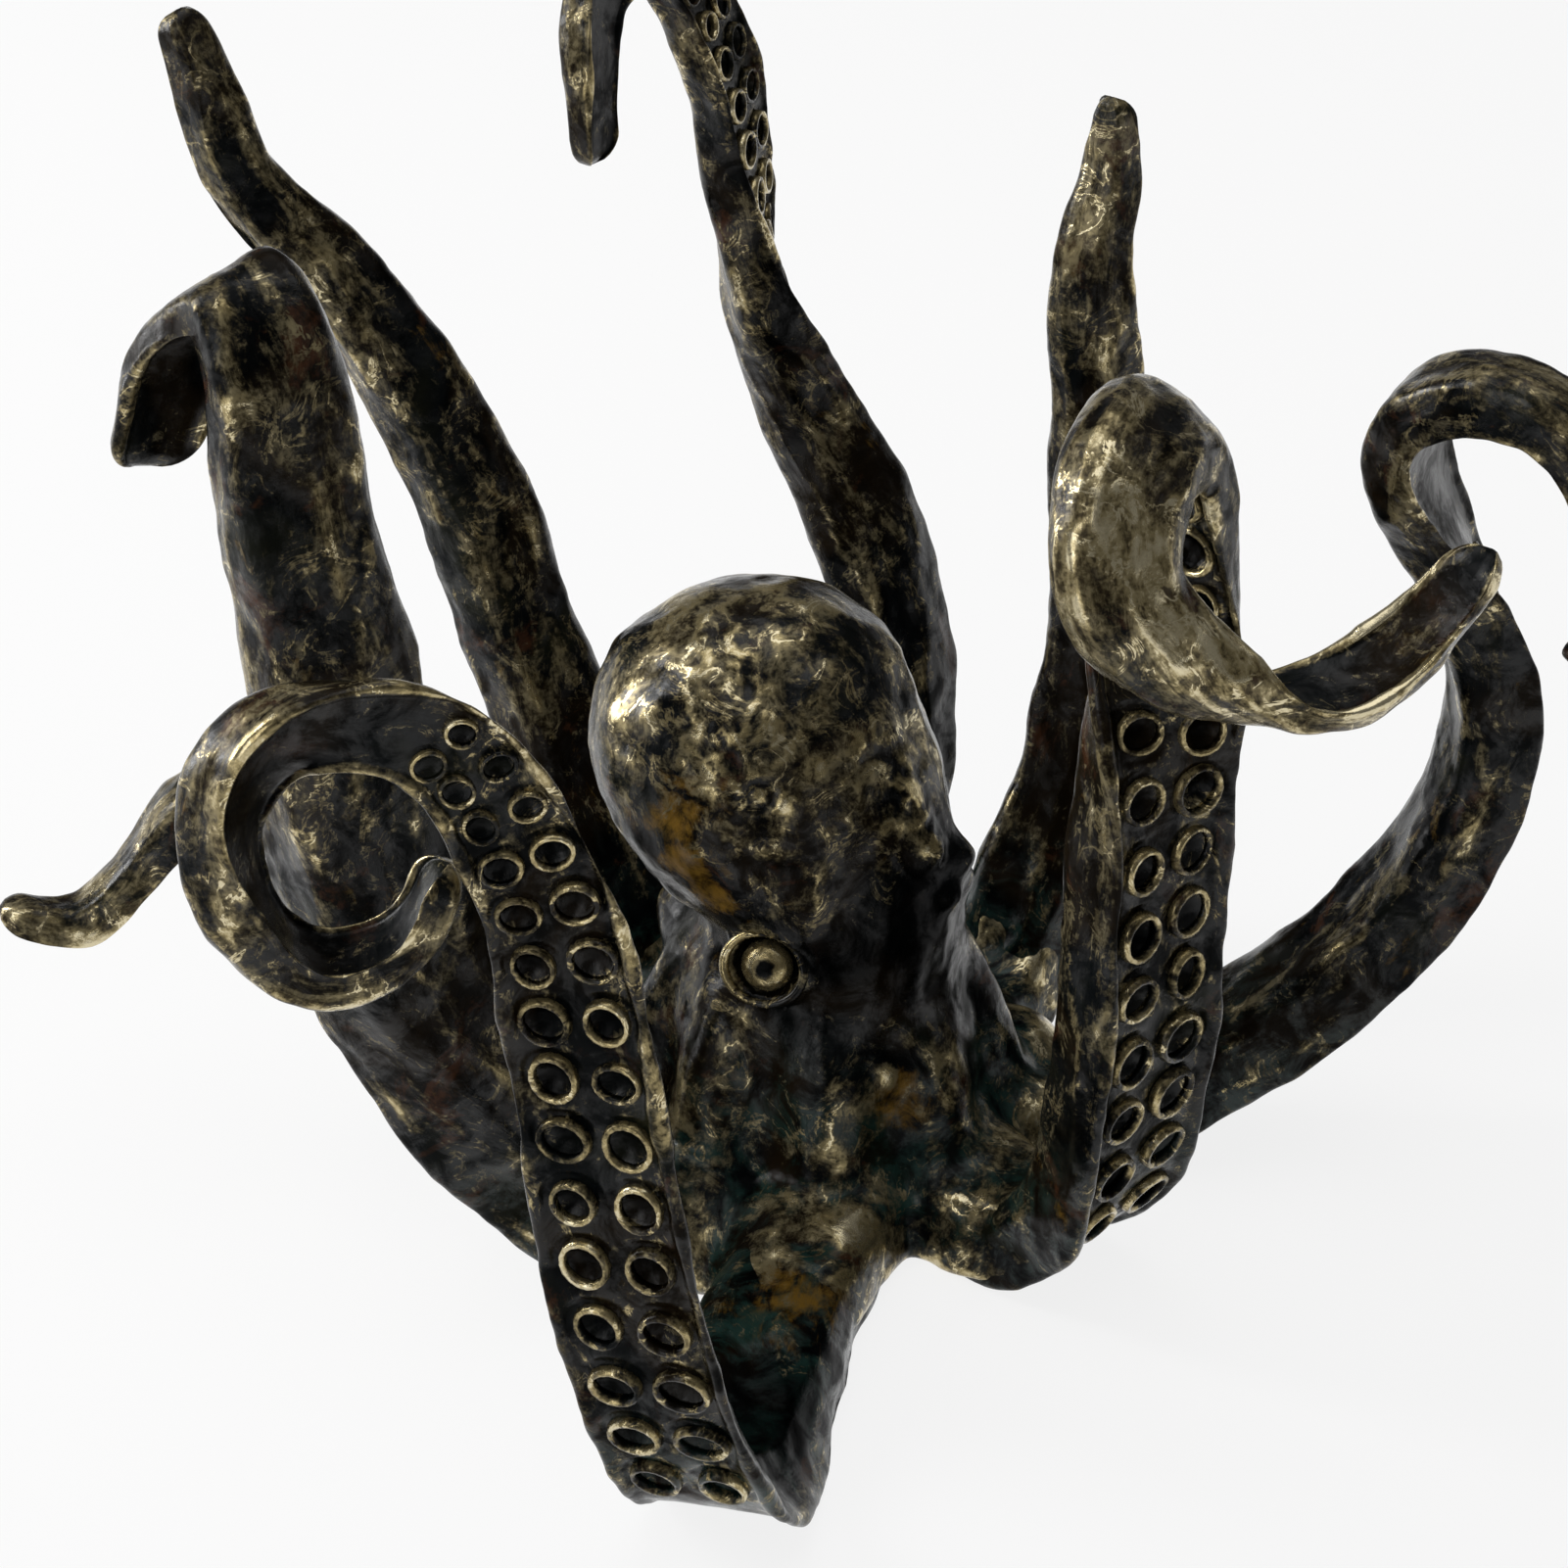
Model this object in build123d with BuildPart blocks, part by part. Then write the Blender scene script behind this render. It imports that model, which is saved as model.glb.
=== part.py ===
from build123d import *
import math
import os
from itertools import pairwise

# Octopus figurine: a cast body, eight cast arms that plug into its hub, and two eye beads.
# Millimetres and degrees. +Z is up, the table is z = 0 and the Z axis runs through the hub.

# Arms: the face that carries the suckers is flat, the back is round
ROOT_WIDTH = 19.5
THICKNESS_SHARE = 0.58
ROOT_UP = 6.5
NECK = 4.0
FOOT_SHARE = 0.14
TIP_SHARE = 0.06
# Half the outline of an arm: share of the half width, share of the thickness up from the sucker face
ARM_OUTLINE = [(1.00, 0.00), (0.98, 0.36), (0.86, 0.80), (0.46, 1.00)]

# Suckers: a pair of eight-sided cups on every band of an arm, sized by the arm's width there
BAND_SHARE = 0.56
SUCKER_SIDES = 8
SUCKER_SHARE = 0.19
SUCKER_HEIGHT_SHARE = 0.3
SUCKER_FLOOR = 6.0
SUCKER_END = 0.88

# Hub: one flat seat for every arm, with a square socket for the arm's peg
ARM_COUNT = 8
SEAT_MARGIN = 0.2
HUB_HEIGHT = 13.0
PEG_SIZE = 6.4
PEG_LENGTH = 9.0
PEG_CLEARANCE = 0.15

# Body: rings round a leaning spine, from the web over the hub to the crown of the mantle
BODY_SIDES = 32
HEAD = (3.0, -4.5, 45.5)
MANTLE_MIDDLE = (-8.5, 2.0, 71.0)
CROWN = (-20.0, 9.5, 95.5)
MANTLE_RADIUS = 25.5
HEAD_SHARE = 0.72
# place along the spine, radius as a share of the mantle's, height of the ridges that run down to the arms
BODY_RINGS = [
    (0.00, 0.90, 0.05),
    (0.10, 0.92, 0.08),
    (0.22, 0.85, 0.07),
    (0.34, HEAD_SHARE, 0.01),
    (0.44, 0.77, 0.00),
    (0.56, 0.91, 0.00),
    (0.68, 1.00, 0.00),
    (0.80, 0.97, 0.00),
    (0.90, 0.80, 0.00),
    (0.96, 0.56, 0.00),
]

# Eyes: a raised rim round a socket on each side of the head, turned a little to the front
FACING = 317.0
EYE_SPREAD = 82.0
EYE_TURN = 18.0
EYE_RISE = 20.0
EYE_PROUD = 2.6
EYE_UP = 3.0
EYE_SIDES = 20
RIM_RADIUS = 6.6
RIM_DEPTH = 7.0
BEAD_RADIUS = 4.2
BEAD_DEPTH = 2.6
BEAD_DOME = 1.9
BEAD_SLOPE = 50.0
BEAD_CLEARANCE = 0.1

# Every arm: the way it leaves the hub, its broadest and its tip width, how late it tapers, how far its sucker
# face is turned at which share of its length, and the points it passes: out from the seat, sideways and up
ARMS = {
    "arm_front": dict(
        azimuth=270,
        broad=24,
        tip=8.5,
        taper=2.1,
        turns=[(0.62, 0), (0.98, -72)],
        stops=[
            (22, -6, 5.6), (46, -11, 5.6), (64, -14, 11), (73, -19, 28), (76, -23.5, 48),
            (75, -28, 80), (74, -32, 106), (75, -39, 127), (78, -51, 143), (80, -66, 143),
            (80, -74, 130), (79, -72.5, 115), (77, -65, 104), (75, -54, 105), (74, -47, 119),
        ],
    ),
    "arm_front_right": dict(
        azimuth=315,
        broad=24,
        tip=7,
        taper=3.2,
        turns=[(0.00, 0), (0.14, -10), (0.36, -10), (0.60, -103), (0.74, -100), (0.90, -18)],
        stops=[
            (14, 1, 5.6), (26, 3, 13.5), (34, 1.5, 34), (36, 1.5, 60), (35, 3, 90),
            (34, 8, 116), (34.5, 9.5, 135), (37, 4.5, 150.5), (43, -11, 153), (48, -20, 141),
            (55, -17, 128), (63, -5, 119.5), (70, 9, 123), (76, 21, 139),
        ],
    ),
    "arm_right": dict(
        azimuth=0,
        broad=21.5,
        tip=7.5,
        taper=2.2,
        turns=[(0.50, 0), (0.75, -60)],
        stops=[
            (14, 0, 5.6), (31, 1, 14), (47.5, 2, 25.5), (62.5, 4, 40), (73, 6, 58.5),
            (75.5, 8, 80), (68, 8, 100), (59.5, 4, 119), (61, -5, 134.5), (74, -15, 139),
            (85, -19, 127), (89, -18, 109), (82, -15, 98),
        ],
    ),
    "arm_back_right": dict(
        azimuth=45,
        broad=19.5,
        tip=6.5,
        taper=3.0,
        turns=[(0, 0)],
        stops=[
            (13, 1, 5.6), (26, 3.5, 18), (37, 3.5, 40), (40.5, 2.5, 66), (39, 3, 94),
            (36.5, 3.5, 118), (36, 4, 133), (39.5, 4, 145), (40, 4, 157),
        ],
    ),
    "arm_back": dict(
        azimuth=90,
        broad=19.5,
        tip=9,
        taper=1.8,
        turns=[(0.36, 0), (0.70, -93), (0.78, -95), (0.92, -120)],
        stops=[
            (13, -4, 5.6), (27, -9, 20), (36, -12, 44), (44, -8, 68), (49, 2.5, 90),
            (51, 11, 115), (49.5, 14.5, 141), (45, 21, 165), (38, 28.5, 176), (29, 34, 172),
            (24, 35, 160), (22, 35, 147),
        ],
    ),
    "arm_back_left": dict(
        azimuth=135,
        broad=20.5,
        tip=7.5,
        taper=2.2,
        turns=[(0, 0)],
        stops=[
            (13, -2, 5.6), (25, -3, 20), (37, -4, 43), (47, -3, 65), (54, 0, 87),
            (63.5, 5, 108), (72, 14, 127), (78, 22.5, 141), (81.5, 25, 153), (84.5, 27, 167),
        ],
    ),
    "arm_left": dict(
        azimuth=180,
        broad=20,
        tip=7.5,
        taper=2.2,
        turns=[(0, 0)],
        stops=[
            (13, 0, 5.6), (31, 0, 18), (45, -2, 43), (57, -4, 63), (69, -3.5, 63.5),
            (80, -0.5, 53.5), (90, 3, 45), (101, 5, 48),
        ],
    ),
    "arm_front_left": dict(
        azimuth=225,
        broad=27,
        tip=10,
        taper=2.2,
        turns=[(0.05, 0), (0.55, -100)],
        stops=[
            (13, -2, 5.6), (27, -5, 20), (40, -6, 44), (51, -7, 70), (58, -6.5, 95),
            (61, -6.7, 122), (63, -9, 144), (63, -11.7, 164), (62, -19, 173.5), (62, -29, 167),
            (64, -36, 152), (66, -39, 141),
        ],
    ),
}

seat_distance = (ROOT_WIDTH / 2 + SEAT_MARGIN) / math.tan(math.pi / ARM_COUNT)


def eased(share):
    """0 below 0, 1 above 1 and a smooth step between."""
    share = min(max(share, 0.0), 1.0)
    return share * share * (3 - 2 * share)


def plate(*corners):
    """One flat facet of a casting."""
    return Face(Wire.make_polygon(corners))


def strip(lower, upper):
    """Flat triangles between two open rows of as many corners each."""
    facets = []
    for (a, b), (c, d) in zip(pairwise(lower), pairwise(upper)):
        facets += [plate(a, b, d), plate(a, d, c)]
    return facets


def band(lower, upper):
    """Flat triangles right round between two rings."""
    return strip(lower + lower[:1], upper + upper[:1])


def fan(ring, apex):
    """Flat triangles from a ring to a point."""
    return [plate(a, b, apex) for a, b in pairwise(ring + ring[:1])]


def arm_width(arm, along):
    """The sucker face: as wide as the seat at the root, broad at the foot, then a long taper."""
    tapered = arm["tip"] + (arm["broad"] - arm["tip"]) * (1 - along ** arm["taper"])
    width = ROOT_WIDTH + (tapered - ROOT_WIDTH) * eased(along / FOOT_SHARE)
    rounding = max(along - (1 - TIP_SHARE), 0) / TIP_SHARE
    return width * math.sqrt(1 - 0.8 * rounding**2)


def arm_turn(arm, along):
    """How far the sucker face is turned at a place along an arm."""
    for (start, before), (end, after) in pairwise(arm["turns"]):
        if along < end:
            return before + (after - before) * eased((along - start) / (end - start))
    return arm["turns"][-1][1]


def arm_route(arm):
    """The smooth line that an arm follows from its seat to its tip."""
    outward = Vector(1, 0, 0).rotate(Axis.Z, arm["azimuth"])
    sideways = Vector(0, 1, 0).rotate(Axis.Z, arm["azimuth"])
    points = []
    for out, side, up in [(0, 0, ROOT_UP), (NECK, 0, ROOT_UP)] + arm["stops"]:
        points.append(outward * (seat_distance + out) + sideways * side + Vector(0, 0, up))
    with BuildLine() as line:
        Spline(*points)
    return line.edge()


def arm_slices(arm, route):
    """Places and planes across an arm, one band apart: x across the sucker face, y up through the back."""
    heading = Vector(1, 0, 0).rotate(Axis.Z, arm["azimuth"])
    suckers_face = Vector(0, 0, -1)
    along = 0.0
    slices = []
    while along < 1:
        suckers_face = (suckers_face - heading * suckers_face.dot(heading)).normalized()
        turned = suckers_face.rotate(Axis((0, 0, 0), heading), arm_turn(arm, along))
        slices.append((along, Plane(route.position_at(along), x_dir=heading.cross(turned), z_dir=heading)))
        along += BAND_SHARE * arm_width(arm, along) / route.length
        heading = route.tangent_at(min(along, 1))
    return slices


def arm_ring(arm, along, plane):
    """The corners of one slice: up the right side, over the back, down the left side, then mid-face."""
    width = arm_width(arm, along)
    thickness = width * THICKNESS_SHARE
    right = [(x * width / 2, (y - 0.5) * thickness) for x, y in ARM_OUTLINE]
    left = [(-x, y) for x, y in reversed(right)]
    corners = [plane.from_local_coords(Vector(x, y, 0)) for x, y in right + left + [(0, -thickness / 2)]]
    return [Vector(corner.X, corner.Y, max(corner.Z, 0)) for corner in corners]


def sucker(corners, width):
    """A cup on a four-cornered piece of sucker face, with the facets that join it to the corners."""
    middle = (corners[0] + corners[1] + corners[2] + corners[3]) * 0.25
    across = (corners[1] - corners[0] + corners[2] - corners[3]).normalized()
    out = across.cross(corners[3] - corners[0] + corners[2] - corners[1]).normalized()
    along = out.cross(across)
    radius = width * SUCKER_SHARE
    base = []
    for corner in range(SUCKER_SIDES):
        turn = 2 * math.pi * corner / SUCKER_SIDES
        base.append(middle + across * (radius * math.cos(turn)) + along * (radius * math.sin(turn)))
    top = [point + out * (radius * SUCKER_HEIGHT_SHARE) for point in base]
    facets = band(base, top) + fan(top, middle)
    for quarter, corner in enumerate((corners[2], corners[3], corners[0], corners[1])):
        following = (corners[3], corners[0], corners[1], corners[2])[quarter]
        near, facing, far = (base[(2 * quarter + step) % SUCKER_SIDES] for step in range(3))
        facets += [plate(corner, near, facing), plate(corner, facing, far), plate(corner, far, following)]
    return facets


def sucker_face(arm, along, lower, upper):
    """The flat side of one band, with a pair of suckers where it stands clear of the table and the tip."""
    if along > SUCKER_END or min(corner.Z for corner in lower + upper) < SUCKER_FLOOR:
        return strip(lower, upper)
    width = arm_width(arm, along)
    left = sucker([lower[0], lower[1], upper[1], upper[0]], width)
    right = sucker([lower[1], lower[2], upper[2], upper[1]], width)
    return left + right


def build_arm(name):
    """One arm with its suckers, a square peg at the root and a foot that is flat on the table."""
    arm = ARMS[name]
    slices = arm_slices(arm, arm_route(arm))
    rings = [arm_ring(arm, along, plane) for along, plane in slices]
    root = slices[0][1]
    half = PEG_SIZE / 2
    square = [(half, -half), (half, half), (-half, half), (-half, -half)]
    peg = [root.from_local_coords(Vector(x, y, 0)) for x, y in square]
    peg_end = [root.from_local_coords(Vector(x, y, -PEG_LENGTH)) for x, y in square]
    facets = [Face(Wire.make_polygon(rings[0]), [Wire.make_polygon(peg)]), plate(*peg_end)]
    facets += band(peg, peg_end)
    for (along, _), lower, upper in zip(slices, rings, rings[1:]):
        facets += strip(lower[:-1], upper[:-1])
        facets += sucker_face(arm, along, lower[-2:] + lower[:1], upper[-2:] + upper[:1])
    tip = slices[-1][1]
    facets += fan(rings[-1], tip.origin + tip.z_dir * arm["tip"] / 8)
    casting = Solid(Shell(facets))
    with BuildPart() as limb:
        add(casting)
    limb.part.label = name
    export_step(limb.part, f"parts/{name}.step")


def eye_plane(side):
    """The plane of an eye's rim: its origin on the rim's front, looking out from the head."""
    azimuth = FACING + side * EYE_SPREAD
    reach = Vector(MANTLE_RADIUS * HEAD_SHARE + EYE_PROUD, 0, EYE_UP).rotate(Axis.Z, azimuth)
    level = Vector(1, 0, 0).rotate(Axis.Z, azimuth - side * EYE_TURN)
    looking = level * math.cos(math.radians(EYE_RISE)) + Vector(0, 0, math.sin(math.radians(EYE_RISE)))
    return Plane(Vector(*HEAD) + reach, x_dir=Vector(0, 0, 1).cross(level), z_dir=looking)


def body_casting():
    """Web, head and mantle as one leaning form."""
    with BuildLine() as line:
        Spline((0, 0, HUB_HEIGHT), HEAD, MANTLE_MIDDLE, CROWN, tangents=[(0, 0, 1), (-0.55, 0.3, 1)])
    spine = line.edge()
    rings = []
    for along, share, ridge in BODY_RINGS:
        heading = spine.tangent_at(along)
        plane = Plane(spine.position_at(along), x_dir=Vector(0, 1, 0).cross(heading), z_dir=heading)
        ring = []
        for corner in range(BODY_SIDES):
            turn = 2 * math.pi * corner / BODY_SIDES
            radius = MANTLE_RADIUS * share * (1 + ridge * math.cos(ARM_COUNT * turn))
            ring.append(plane.from_local_coords(Vector(radius * math.cos(turn), radius * math.sin(turn), 0)))
        rings.append(ring)
    facets = [plate(*rings[0])]
    for lower, upper in pairwise(rings):
        facets += band(lower, upper)
    facets += fan(rings[-1], spine.position_at(1))
    return Solid(Shell(facets))


os.makedirs("parts", exist_ok=True)

web_and_mantle = body_casting()
with BuildPart() as body:
    with BuildSketch():
        RegularPolygon(seat_distance, ARM_COUNT, major_radius=False, rotation=180 / ARM_COUNT)
    extrude(amount=HUB_HEIGHT)
    add(web_and_mantle)
    for side in (-1, 1):
        with BuildSketch(eye_plane(side)):
            RegularPolygon(RIM_RADIUS, EYE_SIDES)
        extrude(amount=-RIM_DEPTH)
        with BuildSketch(eye_plane(side)):
            RegularPolygon(BEAD_RADIUS + BEAD_CLEARANCE, EYE_SIDES)
        extrude(amount=-BEAD_DEPTH, mode=Mode.SUBTRACT)
        with BuildSketch(eye_plane(side)):
            RegularPolygon(BEAD_RADIUS + BEAD_CLEARANCE, EYE_SIDES)
        extrude(amount=BEAD_DOME + BEAD_CLEARANCE, mode=Mode.SUBTRACT)
    with Locations((0, 0, ROOT_UP)):
        with PolarLocations(seat_distance - PEG_LENGTH / 2, ARM_COUNT):
            Box(
                PEG_LENGTH + 2 * PEG_CLEARANCE,
                PEG_SIZE + 2 * PEG_CLEARANCE,
                PEG_SIZE + 2 * PEG_CLEARANCE,
                mode=Mode.SUBTRACT,
            )
body.part.label = "body"
export_step(body.part, "parts/body.step")

for side, name in ((-1, "eye_left"), (1, "eye_right")):
    with BuildPart() as bead:
        with BuildSketch(eye_plane(side)):
            RegularPolygon(BEAD_RADIUS, EYE_SIDES)
        extrude(amount=-BEAD_DEPTH)
        with BuildSketch(eye_plane(side)):
            RegularPolygon(BEAD_RADIUS, EYE_SIDES)
        extrude(amount=BEAD_DOME, taper=BEAD_SLOPE)
    bead.part.label = name
    export_step(bead.part, f"parts/{name}.step")

for name in ARMS:
    build_arm(name)
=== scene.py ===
# %% [markdown]
# # An octopus in antiqued bronze
# The real object is a cast ornament: a leaning mantle, eight raised arms with two rows of suckers, and
# two eye beads. The CAD frame already holds every casting at its real size and place. This lesson makes
# the surfaces that the eye sees: rounded, hand-modelled forms with a dark patina that is rubbed back to
# gold wherever a finger would touch it.

# %% Load the frame
import math

import bmesh
import bpy
import numpy as np
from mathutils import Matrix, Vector, noise


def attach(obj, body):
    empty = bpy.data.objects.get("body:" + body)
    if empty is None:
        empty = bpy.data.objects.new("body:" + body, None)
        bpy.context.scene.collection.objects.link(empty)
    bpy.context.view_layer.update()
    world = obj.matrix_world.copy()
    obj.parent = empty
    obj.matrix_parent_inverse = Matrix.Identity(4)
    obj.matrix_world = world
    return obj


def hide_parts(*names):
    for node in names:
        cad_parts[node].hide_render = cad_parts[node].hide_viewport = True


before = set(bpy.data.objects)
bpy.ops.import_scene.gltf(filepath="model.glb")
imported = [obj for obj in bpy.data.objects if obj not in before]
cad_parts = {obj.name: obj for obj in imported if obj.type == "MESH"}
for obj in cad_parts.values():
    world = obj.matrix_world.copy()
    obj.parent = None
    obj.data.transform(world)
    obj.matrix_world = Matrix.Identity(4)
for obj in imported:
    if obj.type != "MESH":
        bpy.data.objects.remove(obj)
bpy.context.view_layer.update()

MM = 0.001
print("nodes:", sorted(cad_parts))

# %% [markdown]
# ## The camera
# The camera comes first, so that every later step can be judged from the right angle. The object was
# seen from a little above, with a long lens, so its perspective is mild. The lens follows from the
# focal length in pixels and the width of the picture.

# %% Camera
PICTURE_WIDTH = 1601
FOCAL_PIXELS = 4080
CAMERA_RISE = math.radians(33)
CAMERA_DISTANCE = 600 * MM
CAMERA_AIM = Vector((-6, 0, 67)) * MM

camera_data = bpy.data.cameras.new("camera")
camera_data.lens = FOCAL_PIXELS / PICTURE_WIDTH * camera_data.sensor_width
camera = bpy.data.objects.new("camera", camera_data)
looking = Vector((0, math.cos(CAMERA_RISE), -math.sin(CAMERA_RISE)))
camera.location = CAMERA_AIM - looking * CAMERA_DISTANCE
camera.rotation_euler = (math.pi / 2 - CAMERA_RISE, 0, 0)
bpy.context.collection.objects.link(camera)
bpy.context.scene.camera = camera
print("lens in mm:", round(camera_data.lens, 1))

# %% [markdown]
# ## The lines that the arms follow
# An arm is a ribbon that twists as it rises. A few listed stops fix where it goes: out from the
# hub, sideways and up. A cubic spline runs through them, and a frame is carried along it without
# spinning, so that the sucker face starts downwards and turns only where it is told to.

# %% Arm routes
ARM_COUNT = 8
ROOT_WIDTH = 19.5
SEAT_MARGIN = 0.2
ROOT_UP = 6.5
NECK = 4.0
SEAT_DISTANCE = (ROOT_WIDTH / 2 + SEAT_MARGIN) / math.tan(math.pi / ARM_COUNT)
RING_STEP = 0.6
SPLINE_SAMPLES = 4000

# broad and tip are widths in mm, and taper bends the run between them. Suckers_end, slender, waist and
# shadow_span are places along the arm, as shares of its length; along shadow_span painted shade darkens
# the back of the arm inside its bend. A turn is such a place and the degrees by which the sucker face is
# turned there. A stop is a place out, sideways and up from the arm's seat, in mm.
ARMS = {
    "arm_front": dict(
        azimuth=270, broad=24, tip=8.5, taper=2.1, sucker_size=1.08, suckers_end=0.70,
        touch=0.75, lean=0.45, thin=0.66, slender=(0.12, 0.24, 0.70, 0.80),
        waist=(0.68, 0.09, 0.18), shadow_span=(0.13, 0.27),
        turns=[(0.50, 0), (0.69, 27), (0.90, -74)],
        stops=[
            (22, -6, 5.6), (46, -11, 5.6), (64, -14, 11), (73, -19, 28), (76, -23.5, 48),
            (75, -28, 80), (74, -32, 106), (75, -39, 127), (78, -51, 143), (80, -65, 143),
            (80, -73.5, 130), (79, -72, 115.5), (77, -64.5, 105), (75, -54, 106.5), (74, -47, 119),
        ],
    ),
    "arm_front_right": dict(
        azimuth=315, broad=24, tip=9.5, taper=2.4, sucker_size=1.06, suckers_end=0.62,
        touch=1.15, lean=0.08, thin=0.62, slender=(0.34, 0.56, 1.0, 1.1),
        turns=[(0.00, 0), (0.14, -10), (0.36, -10), (0.60, -103), (0.75, -100), (0.91, 6)],
        stops=[
            (14, 1, 5.6), (26, 3, 13.5), (34, 1.5, 34), (36, 1.5, 60), (35, 3, 90),
            (34, 8, 116), (34.5, 9.5, 135), (37, 4.5, 150.5), (43, -11, 153), (48, -20, 141),
            (55, -17, 128), (63, -5, 119.5), (70, 9, 123), (76, 21, 139),
        ],
    ),
    "arm_right": dict(
        azimuth=0, broad=21.5, tip=7.5, taper=2.2, sucker_size=1.15, suckers_end=0.56,
        touch=0.45, lean=0.05, thin=1.0, slender=(0.2, 0.5, 1.0, 1.1),
        turns=[(0.50, 0), (0.75, -60)],
        stops=[
            (14, 0, 5.6), (31, 1, 14), (47.5, 2, 25.5), (62.5, 4, 40), (73, 6, 58.5),
            (75.5, 8, 80), (68, 8, 100), (59.5, 4, 119), (61, -5, 134.5), (74, -15, 139),
            (85, -19, 127), (89, -18, 109), (82, -15, 98),
        ],
    ),
    "arm_back_right": dict(
        azimuth=45, broad=19.5, tip=6.5, taper=3.0, sucker_size=1.15, suckers_end=0.85,
        touch=0.6, lean=0.05, thin=1.0, slender=(0.2, 0.5, 1.0, 1.1),
        turns=[(0, 0)],
        stops=[
            (13, 1, 5.6), (26, 3.5, 18), (37, 3.5, 40), (40.5, 2.5, 66), (39, 3, 94),
            (36.5, 3.5, 118), (36, 4, 133), (39.5, 4, 145), (40, 4, 157),
        ],
    ),
    "arm_back": dict(
        azimuth=90, broad=19.5, tip=9, taper=1.8, sucker_size=1.3, suckers_end=0.86,
        touch=0.4, lean=0.05, thin=1.0, slender=(0.2, 0.5, 1.0, 1.1),
        turns=[(0.36, 0), (0.70, -93), (0.78, -95), (0.92, -120)],
        stops=[
            (13, -4, 5.6), (27, -9, 20), (36, -12, 44), (44, -8, 68), (49, 2.5, 90),
            (51, 11, 115), (49.5, 14.5, 141), (45, 21, 165), (38, 28.5, 176), (29, 34, 172),
            (24, 35, 160), (22, 35, 147),
        ],
    ),
    "arm_back_left": dict(
        azimuth=135, broad=20.5, tip=7.5, taper=2.2, sucker_size=1.15, suckers_end=0.85,
        touch=0.55, lean=0.0, thin=1.0, slender=(0.2, 0.5, 1.0, 1.1),
        turns=[(0, 0)],
        stops=[
            (13, -2, 5.6), (25, -3, 20), (37, -4, 43), (47, -3, 65), (54, 0, 87),
            (63.5, 5, 108), (72, 14, 127), (78, 22.5, 141), (81.5, 25, 153), (84.5, 27, 167),
        ],
    ),
    "arm_left": dict(
        azimuth=180, broad=20, tip=7.5, taper=2.2, sucker_size=1.15, suckers_end=0.8,
        touch=0.8, lean=0.05, thin=0.9, slender=(0.2, 0.5, 1.0, 1.1),
        turns=[(0, 0)],
        stops=[
            (13, 0, 5.6), (31, 0, 18), (45, -2, 43), (57, -4, 63), (69, -3.5, 63.5),
            (80, -0.5, 53.5), (90, 3, 45), (101, 5, 48),
        ],
    ),
    "arm_front_left": dict(
        azimuth=225, broad=30, tip=11, taper=1.7, sucker_size=1.15, suckers_end=0.78,
        touch=0.38, lean=0.0, thin=0.6, slender=(0.60, 0.85, 1.0, 1.1),
        turns=[(0.05, 0), (0.55, -100), (0.82, -100), (0.94, -62)],
        stops=[
            (13, -2, 5.6), (27, -5, 20), (40, -6, 44), (51, -7, 70), (58, -6.5, 95),
            (61, -6.7, 122), (63, -9, 144), (63, -11.7, 164), (62, -19, 173.5), (62, -29, 167),
            (64, -36, 152), (66, -39, 141),
        ],
    ),
}


def eased(share):
    """0 below 0, 1 above 1 and a smooth step between."""
    share = np.clip(share, 0, 1)
    return share * share * (3 - 2 * share)


def spline_places(points, step):
    """Places one step apart along the cubic spline through the points."""
    points = np.array(points, float)
    spans = np.linalg.norm(np.diff(points, axis=0), axis=1)
    knots = np.concatenate([[0], np.cumsum(spans)])
    balance = np.eye(len(points))
    pull = np.zeros_like(points)
    for i in range(1, len(points) - 1):
        balance[i, i - 1:i + 2] = spans[i - 1], 2 * (spans[i - 1] + spans[i]), spans[i]
        pull[i] = 6 * ((points[i + 1] - points[i]) / spans[i] - (points[i] - points[i - 1]) / spans[i - 1])
    bends = np.linalg.solve(balance, pull)
    along = np.linspace(0, knots[-1], SPLINE_SAMPLES)
    span = np.clip(np.searchsorted(knots, along) - 1, 0, len(spans) - 1)
    length = spans[span][:, None]
    after = (along - knots[span])[:, None] / length
    before = 1 - after
    curve = before * points[span] + after * points[span + 1]
    curve += ((before**3 - before) * bends[span] + (after**3 - after) * bends[span + 1]) * length**2 / 6
    run = np.concatenate([[0], np.cumsum(np.linalg.norm(np.diff(curve, axis=0), axis=1))])
    even = np.linspace(0, run[-1], max(int(run[-1] / step), 8) + 1)
    return np.stack([np.interp(even, run, curve[:, axis]) for axis in range(3)], 1), run[-1]


def turned_by(arm, along):
    """How far the sucker face is turned at every place, in radians."""
    stops = arm["turns"]
    angles = np.full(len(along), float(stops[0][1]))
    for (start, before), (end, after) in zip(stops, stops[1:]):
        angles += (after - before) * eased((along - start) / (end - start))
    return np.radians(angles)


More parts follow.
